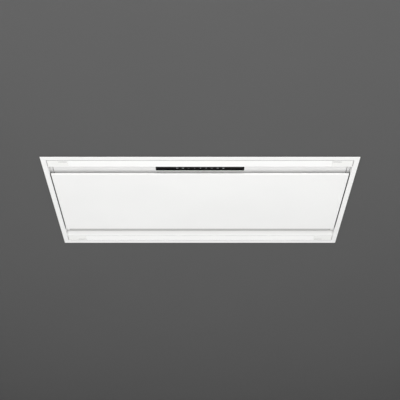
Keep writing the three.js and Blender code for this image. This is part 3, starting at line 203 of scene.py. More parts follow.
def soften(piece: bpy.types.Object, width: float, segments: int = 2) -> None:
    """Rounds a piece's sharp edges and shades it smooth across small angles.

    Args:
        piece: the object to finish.
        width: the width of the rounding in metres.
        segments: how many facets each rounding has.
    """
    apply_modifier(
        piece, "BEVEL", width=width, segments=segments, limit_method="ANGLE",
        angle_limit=math.radians(SHARP_ANGLE), use_clamp_overlap=True,
    )
    smooth(piece)
    apply_modifier(piece, "WEIGHTED_NORMAL", keep_sharp=True)


def smooth(piece: bpy.types.Object, limit: float = 40) -> None:
    """Shades a piece smooth, apart from edges sharper than a limit in degrees."""
    activate(piece)
    bpy.ops.object.shade_smooth_by_angle(angle=math.radians(limit))


def close_normals(piece: bpy.types.Object) -> None:
    """Merges a closed piece's doubles and turns its faces outwards.

    Args:
        piece: the closed piece.
    """
    with editing(piece, "VERT"):
        bpy.ops.mesh.select_all(action="SELECT")
        bpy.ops.mesh.remove_doubles(threshold=MERGED)
        bpy.ops.mesh.normals_make_consistent(inside=False)


def face_like(piece: bpy.types.Object, point: Vector, wanted: Vector) -> None:
    """Turns an open sheet so that its face nearest to a point looks a given way.

    Args:
        piece: the open sheet.
        point: a point near the reference face's centre.
        wanted: the direction which that face's normal has to point in.
    """
    with editing(piece, "FACE"):
        bpy.ops.mesh.select_all(action="SELECT")
        bpy.ops.mesh.normals_make_consistent(inside=False)
        shape = bmesh.from_edit_mesh(piece.data)
        nearest = min(shape.faces, key=lambda face: (face.calc_center_median() - point).length)
        if nearest.normal.dot(wanted) < 0:
            bpy.ops.mesh.flip_normals()


def block(name: str, low: Sequence[float], high: Sequence[float]) -> bpy.types.Object:
    """A block between two corners, as the start of a piece.

    Args:
        name: the object's name.
        low: its lowest corner.
        high: its highest corner.

    Returns:
        The object, with its place in its mesh.
    """
    low, high = Vector(low), Vector(high)
    bpy.ops.mesh.primitive_cube_add(size=1, location=(low + high) / 2)
    piece = bpy.context.object
    piece.scale = high - low
    return settle(piece, name)


def plate(name: str, low: Point, high: Point, height: float) -> bpy.types.Object:
    """A level plane between two corners, as the start of a sheet.

    Args:
        name: the object's name.
        low: its lowest x and y.
        high: its highest x and y.
        height: its z.

    Returns:
        The object, with its place in its mesh.
    """
    middle = ((low[0] + high[0]) / 2, (low[1] + high[1]) / 2, height)
    bpy.ops.mesh.primitive_plane_add(size=1, location=middle)
    piece = bpy.context.object
    piece.scale = (high[0] - low[0], high[1] - low[1], 1)
    return settle(piece, name)


def drum(
    name: str, radius: float, start: Sequence[float], length: float, sides: int = 32,
    axis: Axis = Axis.Z,
) -> bpy.types.Object:
    """A cylinder from a start point along an axis, as the start of a round piece.

    Args:
        name: the object's name.
        radius: its radius.
        start: the centre of its first end.
        length: its length along the axis, which may be negative.
        sides: how many sides it has.
        axis: the direction that it runs along.

    Returns:
        The object, with its place in its mesh.
    """
    turns = {Axis.X: (0, math.pi / 2, 0), Axis.Y: (math.pi / 2, 0, 0), Axis.Z: (0, 0, 0)}
    bpy.ops.mesh.primitive_cylinder_add(
        vertices=sides, radius=radius, depth=abs(length),
        location=Vector(start) + axis.vector(length / 2), rotation=turns[axis],
    )
    return settle(bpy.context.object, name)


def settle(piece: bpy.types.Object, name: str) -> bpy.types.Object:
    """Names a piece and puts its place, turn and scale into its mesh.

    Args:
        piece: the object.
        name: its name.

    Returns:
        The same object.
    """
    activate(piece)
    bpy.ops.object.transform_apply(location=True, rotation=True, scale=True)
    piece.name = name
    piece.data.name = name
    return piece


def join(name: str, *pieces: bpy.types.Object) -> bpy.types.Object:
    """Joins objects into one.

    Args:
        name: the name of the result.
        pieces: the objects to join.

    Returns:
        The joined object.
    """
    activate(pieces[0])
    for piece in pieces:
        piece.select_set(True)
    if len(pieces) > 1:
        bpy.ops.object.join()
    pieces[0].name = name
    pieces[0].data.name = name
    return pieces[0]


def copied(piece: bpy.types.Object, name: str, place: Matrix) -> bpy.types.Object:
    """A copy of a piece with a mesh of its own, moved or turned in its mesh.

    Args:
        piece: the object to copy.
        name: the copy's name.
        place: the transform of the copy.

    Returns:
        The copy.
    """
    mesh = piece.data.copy()
    mesh.transform(place)
    if place.determinant() < 0:
        mesh.flip_normals()
    copy = bpy.data.objects.new(name, mesh)
    mesh.name = name
    bpy.context.scene.collection.objects.link(copy)
    return copy


def row(
    name: str, pattern: bpy.types.Object, places: Sequence[Sequence[float]],
) -> bpy.types.Object:
    """Copies of a small pattern at several places, joined, with the pattern itself removed.

    Args:
        name: the name of the result.
        pattern: the piece to repeat, modelled round the origin.
        places: where the copies go.

    Returns:
        The joined copies.
    """
    copies = [copied(pattern, f"{name}_{i}", Matrix.Translation(p)) for i, p in enumerate(places)]
    bpy.data.objects.remove(pattern)
    return join(name, *copies)


def carve(piece: bpy.types.Object, *cutters: bpy.types.Object) -> bpy.types.Object:
    """Cuts tools out of a piece and removes the tools.

    Args:
        piece: the object to cut.
        cutters: closed objects, clear of each other.

    Returns:
        The cut object.
    """
    tool = join("tool", *cutters)
    apply_modifier(piece, "BOOLEAN", operation="DIFFERENCE", object=tool, solver="EXACT")
    bpy.data.objects.remove(tool)
    return piece


def turned(
    name: str, profile: Sequence[Point], centre: Sequence[float], steps: int = 96,
    axis: Axis = Axis.Z,
) -> bpy.types.Object:
    """A round piece, spun from a profile whose ends lie on the axis or meet.

    Args:
        name: the object's name.
        profile: points of radius and height along the axis.
        centre: a point on the axis, from which heights are counted.
        steps: how many steps the spin takes.
        axis: the axis of the spin.

    Returns:
        The closed object.
    """
    centre = Vector(centre)
    along = axis.vector(1.0)
    across = Vector((0, 1, 0)) if axis is Axis.X else Vector((1, 0, 0))
    spots = [centre + across * radius + along * height for radius, height in profile]
    bpy.ops.mesh.primitive_plane_add(size=MM, location=spots[0])
    piece = settle(bpy.context.object, name)
    with editing(piece, "VERT"):
        bpy.ops.mesh.select_all(action="SELECT")
        bpy.ops.mesh.merge(type="CENTER")
        for here, there in zip(spots, spots[1:]):
            bpy.ops.mesh.extrude_region_move(TRANSFORM_OT_translate={"value": there - here})
        bpy.ops.mesh.select_all(action="SELECT")
        bpy.ops.mesh.spin(steps=steps, angle=2 * math.pi, center=centre, axis=along)
    close_normals(piece)
    return piece


@dataclass
class Fold:
    """One point of a folded sheet's path, with the radius of the bend there.

    Attributes:
        across: its place across the sheet's run.
        height: its z.
        radius: the bend's radius along the path, or 0 for none.
    """

    across: float
    height: float
    radius: float = 0.0


def rounded(path: Sequence[Fold], segments: int) -> list[Point]:
    """A folded path with an arc of its radius at each bend.

    Args:
        path: the folds.
        segments: the facets of an arc.

    Returns:
        Points across the sheet's run and up.
    """
    points = [(path[0].across, path[0].height)]
    for before, fold, after in zip(path, path[1:], path[2:]):
        corner = Vector((fold.across, fold.height))
        if not fold.radius:
            points.append(tuple(corner))
            continue
        back = (Vector((before.across, before.height)) - corner).normalized()
        ahead = (Vector((after.across, after.height)) - corner).normalized()
        half = back.angle(ahead) / 2
        centre = corner + (back + ahead).normalized() * (fold.radius / math.sin(half))
        first = corner + back * (fold.radius / math.tan(half)) - centre
        last = corner + ahead * (fold.radius / math.tan(half)) - centre
        sweep = math.atan2(first.x * last.y - first.y * last.x, first.dot(last))
        for step in range(segments + 1):
            spoke = Matrix.Rotation(sweep * step / segments, 2) @ first
            points.append(tuple(centre + spoke))
    points.append((path[-1].across, path[-1].height))
    return points


def swept(name: str, points: Sequence[Point], run: Point, axis: Axis) -> bpy.types.Object:
    """A straight edge along an axis, extruded through points across it.

    Args:
        name: the object's name.
        points: where the edge goes, across the run and up.
        run: where the edge starts and ends.
        axis: the direction of the edge, X or Y.

    Returns:
        The open sheet.
    """
    far = 10.0  # the plane starts wider than any piece, so that its two ends are told apart
    bpy.ops.mesh.primitive_plane_add(size=2 * far)
    piece = settle(bpy.context.object, name)
    with editing(piece, "VERT"):
        for side, along in ((-1, run[0]), (1, run[1])):
            bpy.ops.mesh.select_all(action="DESELECT")
            shape = bmesh.from_edit_mesh(piece.data)
            for vertex in shape.verts:
                vertex.select_set(vertex.co[axis.value] * side > far / 2)
            shape.select_flush_mode()
            bmesh.update_edit_mesh(piece.data)
            bpy.ops.mesh.merge(type="CENTER")
            first = axis.spot(points[0], along)
            bpy.ops.transform.translate(value=first - axis.vector(side * far))
        bpy.ops.mesh.select_all(action="SELECT")
        for here, there in zip(points, points[1:]):
            step = axis.spot(there, 0) - axis.spot(here, 0)
            bpy.ops.mesh.extrude_region_move(TRANSFORM_OT_translate={"value": step})
    return piece


def folded(
    name: str, path: Sequence[Fold], run: Point, axis: Axis, thickness: float,
    hidden: Sequence[float], segments: int = 5,
) -> bpy.types.Object:
    """A sheet folded along a path, with rounded bends.

    Args:
        name: the object's name.
        path: the folds, on the sheet's visible face.
        run: where the sheet starts and ends along its axis.
        axis: the direction that the folds run along, X or Y.
        thickness: the sheet's thickness.
        hidden: the direction in which the first stretch gets its thickness.
        segments: the facets of a bend.

    Returns:
        The closed object.
    """
    piece = swept(name, rounded(path, segments), run, axis)
    first, second = path[:2]
    middle = ((first.across + second.across) / 2, (first.height + second.height) / 2)
    face_like(piece, axis.spot(middle, sum(run) / 2), -Vector(hidden))
    apply_modifier(
        piece, "SOLIDIFY", thickness=thickness, offset=-1, use_even_offset=True,
        use_quality_normals=True,
    )
    return piece


def bar(name: str, outline: Sequence[Point], run: Point, axis: Axis) -> bpy.types.Object:
    """A solid bar of one closed outline.

    Args:
        name: the object's name.
        outline: the corners of its section, across the run and up.
        run: where it starts and ends along its axis.
        axis: the direction that it runs along, X or Y.

    Returns:
        The closed object.
    """
    piece = swept(name, [*outline, outline[0]], run, axis)
    with editing(piece, "EDGE"):
        bpy.ops.mesh.select_all(action="SELECT")
        bpy.ops.mesh.remove_doubles(threshold=MERGED)
        for end in run:
            pick_edges(piece, lambda a, b: all(
                abs(spot[axis.value] - end) < CLOSE for spot in (a, b)))
            bpy.ops.mesh.edge_face_add()
    close_normals(piece)
    return piece


def refined(node: str, width: float, segments: int = 2) -> bpy.types.Object:
    """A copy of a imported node, merged and with its sharp edges rounded.

    Args:
        node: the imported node's name.
        width: the width of the rounding.
        segments: the facets of each rounding.

    Returns:
        The copy.
    """
    mesh = frame["nodes"][node].data.copy()
    mesh.materials.clear()
    piece = bpy.data.objects.new(f"{node}_shown", mesh)
    bpy.context.scene.collection.objects.link(piece)
    with editing(piece, "VERT"):
        bpy.ops.mesh.customdata_custom_splitnormals_clear()
        bpy.ops.mesh.select_all(action="SELECT")
        bpy.ops.mesh.remove_doubles(threshold=MERGED)
        bpy.ops.mesh.dissolve_limited(angle_limit=math.radians(FLAT_ANGLE))
    soften(piece, width, segments)
    return piece


# ---------------------------------------------------------------- shared shader groups


class Wiring:
    """Adds and links the nodes of one shader tree."""

    def __init__(self, tree: bpy.types.NodeTree) -> None:
        """Starts on a tree.

        Args:
            tree: the node tree to build in.
        """
        self.tree = tree

    def add(
        self, kind: str, settings: dict[str, object] | None = None, **inputs: object,
    ) -> bpy.types.Node:
        """Adds a node, sets its properties and fills its inputs.

        Args:
            kind: the node's type.
            settings: its properties by name.
            inputs: a value or an output socket for each input, by name, with _ for a space.

        Returns:
            The node.
        """
        node = self.tree.nodes.new(kind)
        for name, value in (settings or {}).items():
            setattr(node, name, value)
        self.connect(node, **inputs)
        return node

    def connect(self, node: bpy.types.Node, **inputs: object) -> None:
        """Fills the inputs of a node, each given by its name with _ for a space."""
        for name, value in inputs.items():
            self.fill(node.inputs[name.replace("_", " ")], value)

    def fill_first(self, node: bpy.types.Node, *values: object) -> None:
        """Fills the first inputs of a node, in their order."""
        for socket, value in zip(node.inputs, values):
            self.fill(socket, value)

    def fill(self, socket: bpy.types.NodeSocket, value: object) -> None:
        """Links an output to a socket, or sets the socket's value.

        Args:
            socket: the input socket.
            value: an output socket, a number or a list of numbers.
        """
        if isinstance(value, bpy.types.NodeSocket):
            self.tree.links.new(value, socket)
        elif socket.type == "RGBA" and len(value) == 3:
            socket.default_value = (*value, 1.0)
        else:
            socket.default_value = value

    def maths(
        self, operation: str, first: object, second: object = 0.0, clamp: bool = False,
    ) -> bpy.types.NodeSocket:
        """A maths node of one operation.

        Args:
            operation: the operation's name.
            first: its first input.
            second: its second input.
            clamp: whether the result stays between 0 and 1.

        Returns:
            The node's output.
        """
        node = self.add("ShaderNodeMath", {"operation": operation, "use_clamp": clamp})
        self.fill_first(node, first, second)
        return node.outputs[0]

    def blend(self, mask: object, first: object, second: object) -> bpy.types.NodeSocket:
        """A mix of two colours.

        Args:
            mask: the share of the second colour.
            first: the first colour.
            second: the second colour.

        Returns:
            The mixed colour.
        """
        node = self.add("ShaderNodeMix", {"data_type": "RGBA"})
        # its colour sockets come after those for numbers and vectors
        for index, filling in ((0, mask), (6, first), (7, second)):
            self.fill(node.inputs[index], filling)
        return node.outputs[2]

    def scaled(self, vector: object, factor: object) -> bpy.types.NodeSocket:
        """A vector or a colour, multiplied by a number."""
        return self.add("ShaderNodeVectorMath", {"operation": "SCALE"}, Vector=vector,
                        Scale=factor).outputs[0]

    def place(self, stretch: Sequence[float] = (1, 1, 1)) -> bpy.types.NodeSocket:
        """Object coordinates, stretched along the axes.

        Args:
            stretch: the scale along X, Y and Z.

        Returns:
            The vector output.
        """
        source = self.add("ShaderNodeTexCoord").outputs["Object"]
        return self.add("ShaderNodeMapping", Vector=source, Scale=stretch).outputs[0]

    def ranged(
        self, value: object, low: object, high: object, start: object, end: object,
    ) -> bpy.types.NodeSocket:
        """A value carried from one range to another.

        Args:
            value: the value.
            low: the start of its range.
            high: the end of its range.
            start: the result at the start.
            end: the result at the end.

        Returns:
            The output.
        """
        node = self.add("ShaderNodeMapRange")
        self.fill_first(node, value, low, high, start, end)
        return node.outputs[0]


SOCKETS = {"value": "NodeSocketFloat", "colour": "NodeSocketColor"}


def shader_group(
    name: str, inputs: dict[str, float | Sequence[float]], outputs: Sequence[str],
) -> tuple[bpy.types.NodeTree, Wiring, bpy.types.NodeOutputs, bpy.types.Node]:
    """A new node group with named sockets.

    Args:
        name: the group's name.
        inputs: a default for each input, a number or a colour.
        outputs: the outputs' names; those called Colour are colours.

    Returns:
        The group, its wiring, its inputs as sources and the node of its outputs.
    """
    tree = bpy.data.node_groups.new(name, "ShaderNodeTree")
    for label, default in inputs.items():
        kind = "value" if isinstance(default, (int, float)) else "colour"
        socket = tree.interface.new_socket(label, in_out="INPUT", socket_type=SOCKETS[kind])
        socket.default_value = default if kind == "value" else (*default, 1.0)
    for label in outputs:
        kind = "colour" if label == "Colour" else "value"
        tree.interface.new_socket(label, in_out="OUTPUT", socket_type=SOCKETS[kind])
    wiring = Wiring(tree)
    return tree, wiring, wiring.add("NodeGroupInput").outputs, wiring.add("NodeGroupOutput")


def fine_grain_group() -> bpy.types.NodeTree:
    """The fine relief of paint or moulded plastic, with slow drifts of tone and gloss.

    Returns:
        The group.
    """
    tree, wiring, given, out = shader_group(
        "fine grain",
        {"Colour": (0.8, 0.8, 0.8), "Grain Size": 0.001, "Tone Drift": 0.02,
         "Roughness": 0.4, "Gloss Drift": 0.05},
        ["Colour", "Roughness", "Height"],
    )
    place = wiring.place()
    scale = wiring.maths("DIVIDE", 1.0, given["Grain Size"])
    grain = wiring.add("ShaderNodeTexNoise", Vector=place, Scale=scale, Detail=3.0)
    cloud = wiring.add("ShaderNodeTexNoise", Vector=place, Scale=3.1, Detail=2.0)
    drift = wiring.ranged(cloud.outputs[0], 0.3, 0.7, -1.0, 1.0)
    tone = wiring.maths("ADD", wiring.maths("MULTIPLY", drift, given["Tone Drift"]), 1.0)
    swing = wiring.maths("MULTIPLY", drift, given["Gloss Drift"])
    wiring.connect(out, Colour=wiring.scaled(given["Colour"], tone), Height=grain.outputs[0],
                   Roughness=wiring.maths("ADD", swing, given["Roughness"], clamp=True))
    return tree


def zinc_group() -> bpy.types.NodeTree:
    """The crystal flowers of hot-dip galvanised sheet, with fine scratches.

    Returns:
        The group.
    """
    tree, wiring, given, out = shader_group(
        "zinc spangle",
        {"Colour": (0.6, 0.6, 0.6), "Crystal Size": 0.012, "Contrast": 0.12, "Roughness": 0.4},
        ["Colour", "Roughness", "Height"],
    )
    scale = wiring.maths("DIVIDE", 1.0, given["Crystal Size"])
    bend = wiring.add("ShaderNodeTexNoise", Vector=wiring.place(), Scale=60.0, Detail=2.0)
    pushed = wiring.add("ShaderNodeVectorMath", {"operation": "ADD"})
    wiring.fill_first(pushed, wiring.place(), wiring.scaled(bend.outputs["Color"], 6 * MM))
    cells = wiring.add("ShaderNodeTexVoronoi", Vector=pushed.outputs[0], Scale=scale)
    shade = wiring.add("ShaderNodeSeparateColor", Color=cells.outputs["Color"]).outputs[0]
    streaks = wiring.add("ShaderNodeTexNoise", Vector=wiring.place((60, 60, 900)), Scale=1.0,
                         Detail=2.0)
    tone = wiring.maths("MULTIPLY", wiring.ranged(shade, 0, 1, -1, 1), given["Contrast"])
    fine = wiring.ranged(streaks.outputs[0], 0.3, 0.7, 0.97, 1.03)
    factor = wiring.maths("MULTIPLY", wiring.maths("ADD", tone, 1.0), fine)
    swing = wiring.ranged(shade, 0, 1, -0.09, 0.09)
    wiring.connect(out, Colour=wiring.scaled(given["Colour"], factor),
                   Height=cells.outputs["Distance"],
                   Roughness=wiring.maths("ADD", swing, given["Roughness"], clamp=True))
    return tree


def drawn_metal_group() -> bpy.types.NodeTree:
    """Fine lines left by rolling or extruding along X, or an even grain.

    Returns:
        The group.
    """
    tree, wiring, given, out = shader_group(
        "drawn metal",
        {"Colour": (0.7, 0.7, 0.7), "Along X": 1.0, "Contrast": 0.06, "Roughness": 0.35},
        ["Colour", "Roughness", "Height"],
    )
    source = wiring.add("ShaderNodeTexCoord").outputs["Object"]
    parts = wiring.add("ShaderNodeSeparateXYZ", Vector=source)
    fine, long = 2600.0, 12.0
    along = wiring.ranged(given["Along X"], 0, 1, fine, long)
    x, y, z = (wiring.maths("MULTIPLY", part, scale)
               for part, scale in zip(parts.outputs, (along, fine, fine)))
    joined = wiring.add("ShaderNodeCombineXYZ", X=x, Y=y, Z=z).outputs[0]
    lines = wiring.add("ShaderNodeTexNoise", Vector=joined, Scale=1.0, Detail=2.0).outputs[0]
    cloud = wiring.add("ShaderNodeTexNoise", Vector=source, Scale=7.0, Detail=2.0).outputs[0]
    swing = wiring.ranged(lines, 0.25, 0.75, -1, 1)
    tone = wiring.maths("ADD", wiring.maths("MULTIPLY", swing, given["Contrast"]),
                        wiring.ranged(cloud, 0.3, 0.7, 0.97, 1.03))
    rough = wiring.maths("MULTIPLY", wiring.ranged(cloud, 0.3, 0.7, 0.85, 1.15),
                         given["Roughness"])
    wiring.connect(out, Colour=wiring.scaled(given["Colour"], tone), Height=lines,
                   Roughness=rough)
    return tree


def settled_dust_group() -> bpy.types.NodeTree:
    """A thin film of dust on faces that look up, in soft patches.

    Returns:
        The group.
    """
    tree, wiring, given, out = shader_group(
        "settled dust",
        {"Colour": (0.6, 0.6, 0.6), "Dust Colour": (0.42, 0.4, 0.37), "Amount": 0.3,
         "Roughness": 0.4},
        ["Colour", "Roughness", "Mask"],
    )
    normal = wiring.add("ShaderNodeNewGeometry").outputs["Normal"]
    upward = wiring.add("ShaderNodeSeparateXYZ", Vector=normal).outputs[2]
    patches = wiring.add("ShaderNodeTexNoise", Vector=wiring.place(), Scale=14.0, Detail=5.0)
    cover = wiring.ranged(patches.outputs[0], 0.32, 0.7, 0.25, 1.0)
    level = wiring.maths("MULTIPLY", wiring.ranged(upward, 0.2, 0.9, 0, 1), cover)
    mask = wiring.maths("MULTIPLY", level, given["Amount"], clamp=True)
    wiring.connect(out, Colour=wiring.blend(mask, given["Colour"], given["Dust Colour"]),
                   Roughness=wiring.ranged(mask, 0, 1, given["Roughness"], 0.95), Mask=mask)
    return tree


def worn_edge_group() -> bpy.types.NodeTree:
    """Another colour on outer edges, broken up by noise, where handling polishes a finish.

    Returns:
        The group.
    """
    tree, wiring, given, out = shader_group(
        "worn edge",
        {"Colour": (0.6, 0.6, 0.6), "Edge Colour": (0.8, 0.8, 0.8), "Amount": 0.5},
        ["Colour"],
    )
    bend = wiring.add("ShaderNodeNewGeometry").outputs["Pointiness"]
    noise = wiring.add("ShaderNodeTexNoise", Vector=wiring.place(), Scale=220.0, Detail=3.0)
    edge = wiring.ranged(bend, 0.52, 0.6, 0, 1)
    rough = wiring.ranged(noise.outputs[0], 0.35, 0.65, 0.3, 1)
    mask = wiring.maths("MULTIPLY", wiring.maths("MULTIPLY", edge, rough), given["Amount"],
                        clamp=True)
    wiring.connect(out, Colour=wiring.blend(mask, given["Colour"], given["Edge Colour"]))
    return tree


def painted_joint_shade_group() -> bpy.types.NodeTree:
    """Painted shade in narrow joints: a darker colour inside a box round the origin and above a
    height.

    Returns:
        The group.
    """
    tree, wiring, given, out = shader_group(
        "painted joint shade",
        {"Colour": (0.8, 0.8, 0.8), "Film Colour": (0.2, 0.2, 0.2), "Half X": 1.0,
         "Half Y": 1.0, "From Z": 1 * MM, "Softness": 1 * MM},
        ["Colour"],
    )
    spot = wiring.add("ShaderNodeSeparateXYZ",
                      Vector=wiring.add("ShaderNodeTexCoord").outputs["Object"])
    mask = 1.0
    for axis, half in ((0, given["Half X"]), (1, given["Half Y"])):
        off = wiring.maths("ABSOLUTE", spot.outputs[axis])
        start = wiring.maths("SUBTRACT", half, given["Softness"])
        mask = wiring.maths("MULTIPLY", mask, wiring.ranged(off, start, half, 1, 0))
    deep = wiring.maths("ADD", given["From Z"], 0.3 * MM)
    mask = wiring.maths("MULTIPLY", mask,
                        wiring.ranged(spot.outputs[2], given["From Z"], deep, 0, 1))
    wiring.connect(out, Colour=wiring.blend(mask, given["Colour"], given["Film Colour"]))
    return tree


class Groups:
    """The shared node groups, built once."""

    def __init__(self) -> None:
        """Builds every group."""
        self.grain = fine_grain_group()
        self.zinc = zinc_group()
        self.drawn = drawn_metal_group()
        self.dust = settled_dust_group()
        self.edge = worn_edge_group()
        # the painted shade in joints and recesses
        self.film = painted_joint_shade_group()


# ---------------------------------------------------------------- finishes


def new_material(name: str) -> tuple[bpy.types.Material, Wiring, bpy.types.Node]:
    """A new material with the plain surface shader.

    Args:
        name: its name.

    Returns:
        The material, its wiring and its Principled BSDF.
    """
    material = bpy.data.materials.new(name)
    material.use_nodes = True
    return material, Wiring(material.node_tree), material.node_tree.nodes["Principled BSDF"]


def placed(wiring: Wiring, tree: bpy.types.NodeTree, **inputs: object) -> bpy.types.Node:
    """A shared group placed in a material, with its own values by name."""
    return wiring.add("ShaderNodeGroup", {"node_tree": tree}, **inputs)


@dataclass(frozen=True)
class Finish:
    """What every finish has: a name, a slot, a colour and a roughness."""

    name: str
    slot: Slot
    colour: Colour
    roughness: float

    def build(self, groups: Groups) -> bpy.types.Material:
        """Makes the material of this finish.

        Args:
            groups: the shared node groups.

        Returns:
            The material.
        """
        material, wiring, surface = new_material(self.name)
        material.diffuse_color = (*self.colour, 1)
        surface.inputs["Roughness"].default_value = self.roughness
        self.wire(wiring, surface, groups)
        return material

    def wire(self, wiring: Wiring, surface: bpy.types.Node, groups: Groups) -> None:
        """Links the finish's pattern to its surface shader.

        Args:
            wiring: the material's wiring.
            surface: its Principled BSDF.
            groups: the shared node groups.
        """
        raise NotImplementedError

    def relief(
        self, wiring: Wiring, surface: bpy.types.Node, height: object, depth: float,
    ) -> None:
        """Turns a height into the surface's normal.

        Args:
            wiring: the material's wiring.
            surface: its Principled BSDF.
            height: the height's output socket.
            depth: the depth of the relief in metres.
        """
        bump = wiring.add("ShaderNodeBump", Height=height, Distance=depth)
        wiring.connect(surface, Normal=bump.outputs[0])


@dataclass(frozen=True)
class GrainedCoat(Finish):
    """Powder paint or moulded plastic with a fine relief."""

    grain: float = 0.9 * MM
    depth: float = 0.012 * MM
    tone_drift: float = 0.012
    gloss_drift: float = 0.03
    coat: float = 0.0
    coat_roughness: float = 0.25
    edge_colour: Colour | None = None
    edge_wear: float = 0.5

    def wire(self, wiring: Wiring, surface: bpy.types.Node, groups: Groups) -> None:
        """Links grain and worn edges.

        Args:
            wiring: the material's wiring.
            surface: its Principled BSDF.
            groups: the shared node groups.
        """
        coat = placed(
            wiring, groups.grain, Colour=self.colour, Grain_Size=self.grain,
            Tone_Drift=self.tone_drift, Roughness=self.roughness, Gloss_Drift=self.gloss_drift,
        )
        colour = coat.outputs["Colour"]
        if self.edge_colour:
            worn = placed(wiring, groups.edge, Colour=colour, Edge_Colour=self.edge_colour,
                          Amount=self.edge_wear)
            colour = worn.outputs["Colour"]
        wiring.connect(surface, Base_Color=colour, Roughness=coat.outputs["Roughness"],
                       Coat_Weight=self.coat, Coat_Roughness=self.coat_roughness)
        self.relief(wiring, surface, coat.outputs["Height"], self.depth)


@dataclass(frozen=True)
class PaintedShade:
    """Where a coat carries painted shade, and how dark it is there.

    Attributes:
        colour: the painted shade's colour.
        half: the painted shade reaches this far from the middle along X and Y.
        from_z: it starts above this height.
        softness: the width over which it fades out.
    """

    colour: Colour
    half: Point = (1.0, 1.0)
    from_z: float = 0.9 * MM
    softness: float = 1 * MM


@dataclass(frozen=True)
class ShadedCoat(GrainedCoat):
    """A coat with painted shade laid over its colour in joints and recesses."""

    painted_shades: tuple[PaintedShade, ...] = ()

    def wire(self, wiring: Wiring, surface: bpy.types.Node, groups: Groups) -> None:
        """Links the coat and lays the bands of painted shade over its colour.

        Args:
            wiring: the material's wiring.
            surface: its Principled BSDF.
            groups: the shared node groups.
        """
        super().wire(wiring, surface, groups)
        base = surface.inputs["Base Color"]
        # each band darkens the colour as painted shade
        for film in self.painted_shades:
            layer = placed(
                wiring, groups.film, Colour=base.links[0].from_socket, Film_Colour=film.colour,
                Half_X=film.half[0], Half_Y=film.half[1], From_Z=film.from_z,
                Softness=film.softness,
            )
            wiring.fill(base, layer.outputs["Colour"])


@dataclass(frozen=True)
class ZincSheet(Finish):
    """Galvanised sheet with crystal flowers, and dust where it looks up."""

    crystal: float = 13 * MM
    depth: float = 0.01 * MM
    dust: float = 0.28
    bare_metal: float = 0.9

    def wire(self, wiring: Wiring, surface: bpy.types.Node, groups: Groups) -> None:
        """Links spangle and dust.

        Args:
            wiring: the material's wiring.
            surface: its Principled BSDF.
            groups: the shared node groups.
        """
        zinc = placed(wiring, groups.zinc, Colour=self.colour, Crystal_Size=self.crystal,
                      Roughness=self.roughness)
        dust = placed(wiring, groups.dust, Colour=zinc.outputs["Colour"], Amount=self.dust,
                      Roughness=zinc.outputs["Roughness"])
        wiring.connect(surface, Base_Color=dust.outputs["Colour"],
                       Roughness=dust.outputs["Roughness"],
                       Metallic=wiring.ranged(dust.outputs["Mask"], 0, 1, self.bare_metal, 0.0))
        self.relief(wiring, surface, zinc.outputs["Height"], self.depth)


@dataclass(frozen=True)
class DrawnMetal(Finish):
    """Aluminium or zinc-plated steel with fine lines along X, or with an even grain."""

    along_x: float = 1.0
    contrast: float = 0.05
    depth: float = 0.006 * MM
    edge_colour: Colour = (0.86, 0.87, 0.88)
    edge_wear: float = 0.6

    def wire(self, wiring: Wiring, surface: bpy.types.Node, groups: Groups) -> None:
        """Links the drawn lines and polished edges.

        Args:
            wiring: the material's wiring.
            surface: its Principled BSDF.
            groups: the shared node groups.
        """
        drawn = placed(wiring, groups.drawn, Colour=self.colour, Along_X=self.along_x,
                       Contrast=self.contrast, Roughness=self.roughness)
        worn = placed(wiring, groups.edge, Colour=drawn.outputs["Colour"],
                      Edge_Colour=self.edge_colour, Amount=self.edge_wear)
        wiring.connect(surface, Base_Color=worn.outputs["Colour"],
                       Roughness=drawn.outputs["Roughness"], Metallic=1.0)
        self.relief(wiring, surface, drawn.outputs["Height"], self.depth)


@dataclass(frozen=True)
class ExpandedMesh(Finish):
    """Layered expanded aluminium, drawn as diamond openings on a pleated sheet, painted near black
    as the shade seen through them.
    """

    cell: float = 5 * MM
    slant: float = 1.6
    strand_edge: Point = (0.32, 0.5)
    # the openings' colour is painted shade for the dark depth behind them
    opening: Colour = (0.02, 0.02, 0.02)
    contrast: float = 0.08
    depth: float = 0.4 * MM

    def wire(self, wiring: Wiring, surface: bpy.types.Node, groups: Groups) -> None:
        """Links diamonds and drawn lines.

        Args:
            wiring: the material's wiring.
            surface: its Principled BSDF.
            groups: the shared node groups.
        """
        place = wiring.add("ShaderNodeTexCoord").outputs["Object"]
        parts = wiring.add("ShaderNodeSeparateXYZ", Vector=place)

        across = wiring.maths("MULTIPLY", parts.outputs[1], self.slant)
        waves = []
        for operation in ("ADD", "SUBTRACT"):
            slanted = wiring.maths(operation, parts.outputs[0], across)
            turn = wiring.maths("MULTIPLY", slanted, math.pi / self.cell)
            waves.append(wiring.maths("ABSOLUTE", wiring.maths("SINE", turn)))
        away = wiring.maths("MINIMUM", *waves)  # 0 along the middle of each strand
        open_mask = wiring.ranged(away, *self.strand_edge, 0, 1)
        drawn = placed(wiring, groups.drawn, Colour=self.colour, Contrast=self.contrast,
                       Roughness=self.roughness)
        wiring.connect(
            surface, Base_Color=wiring.blend(open_mask, drawn.outputs["Colour"], self.opening),
            Roughness=drawn.outputs["Roughness"], Metallic=wiring.ranged(open_mask, 0, 1, 1, 0))
        self.relief(wiring, surface, wiring.maths("SUBTRACT", 1.0, away), self.depth)


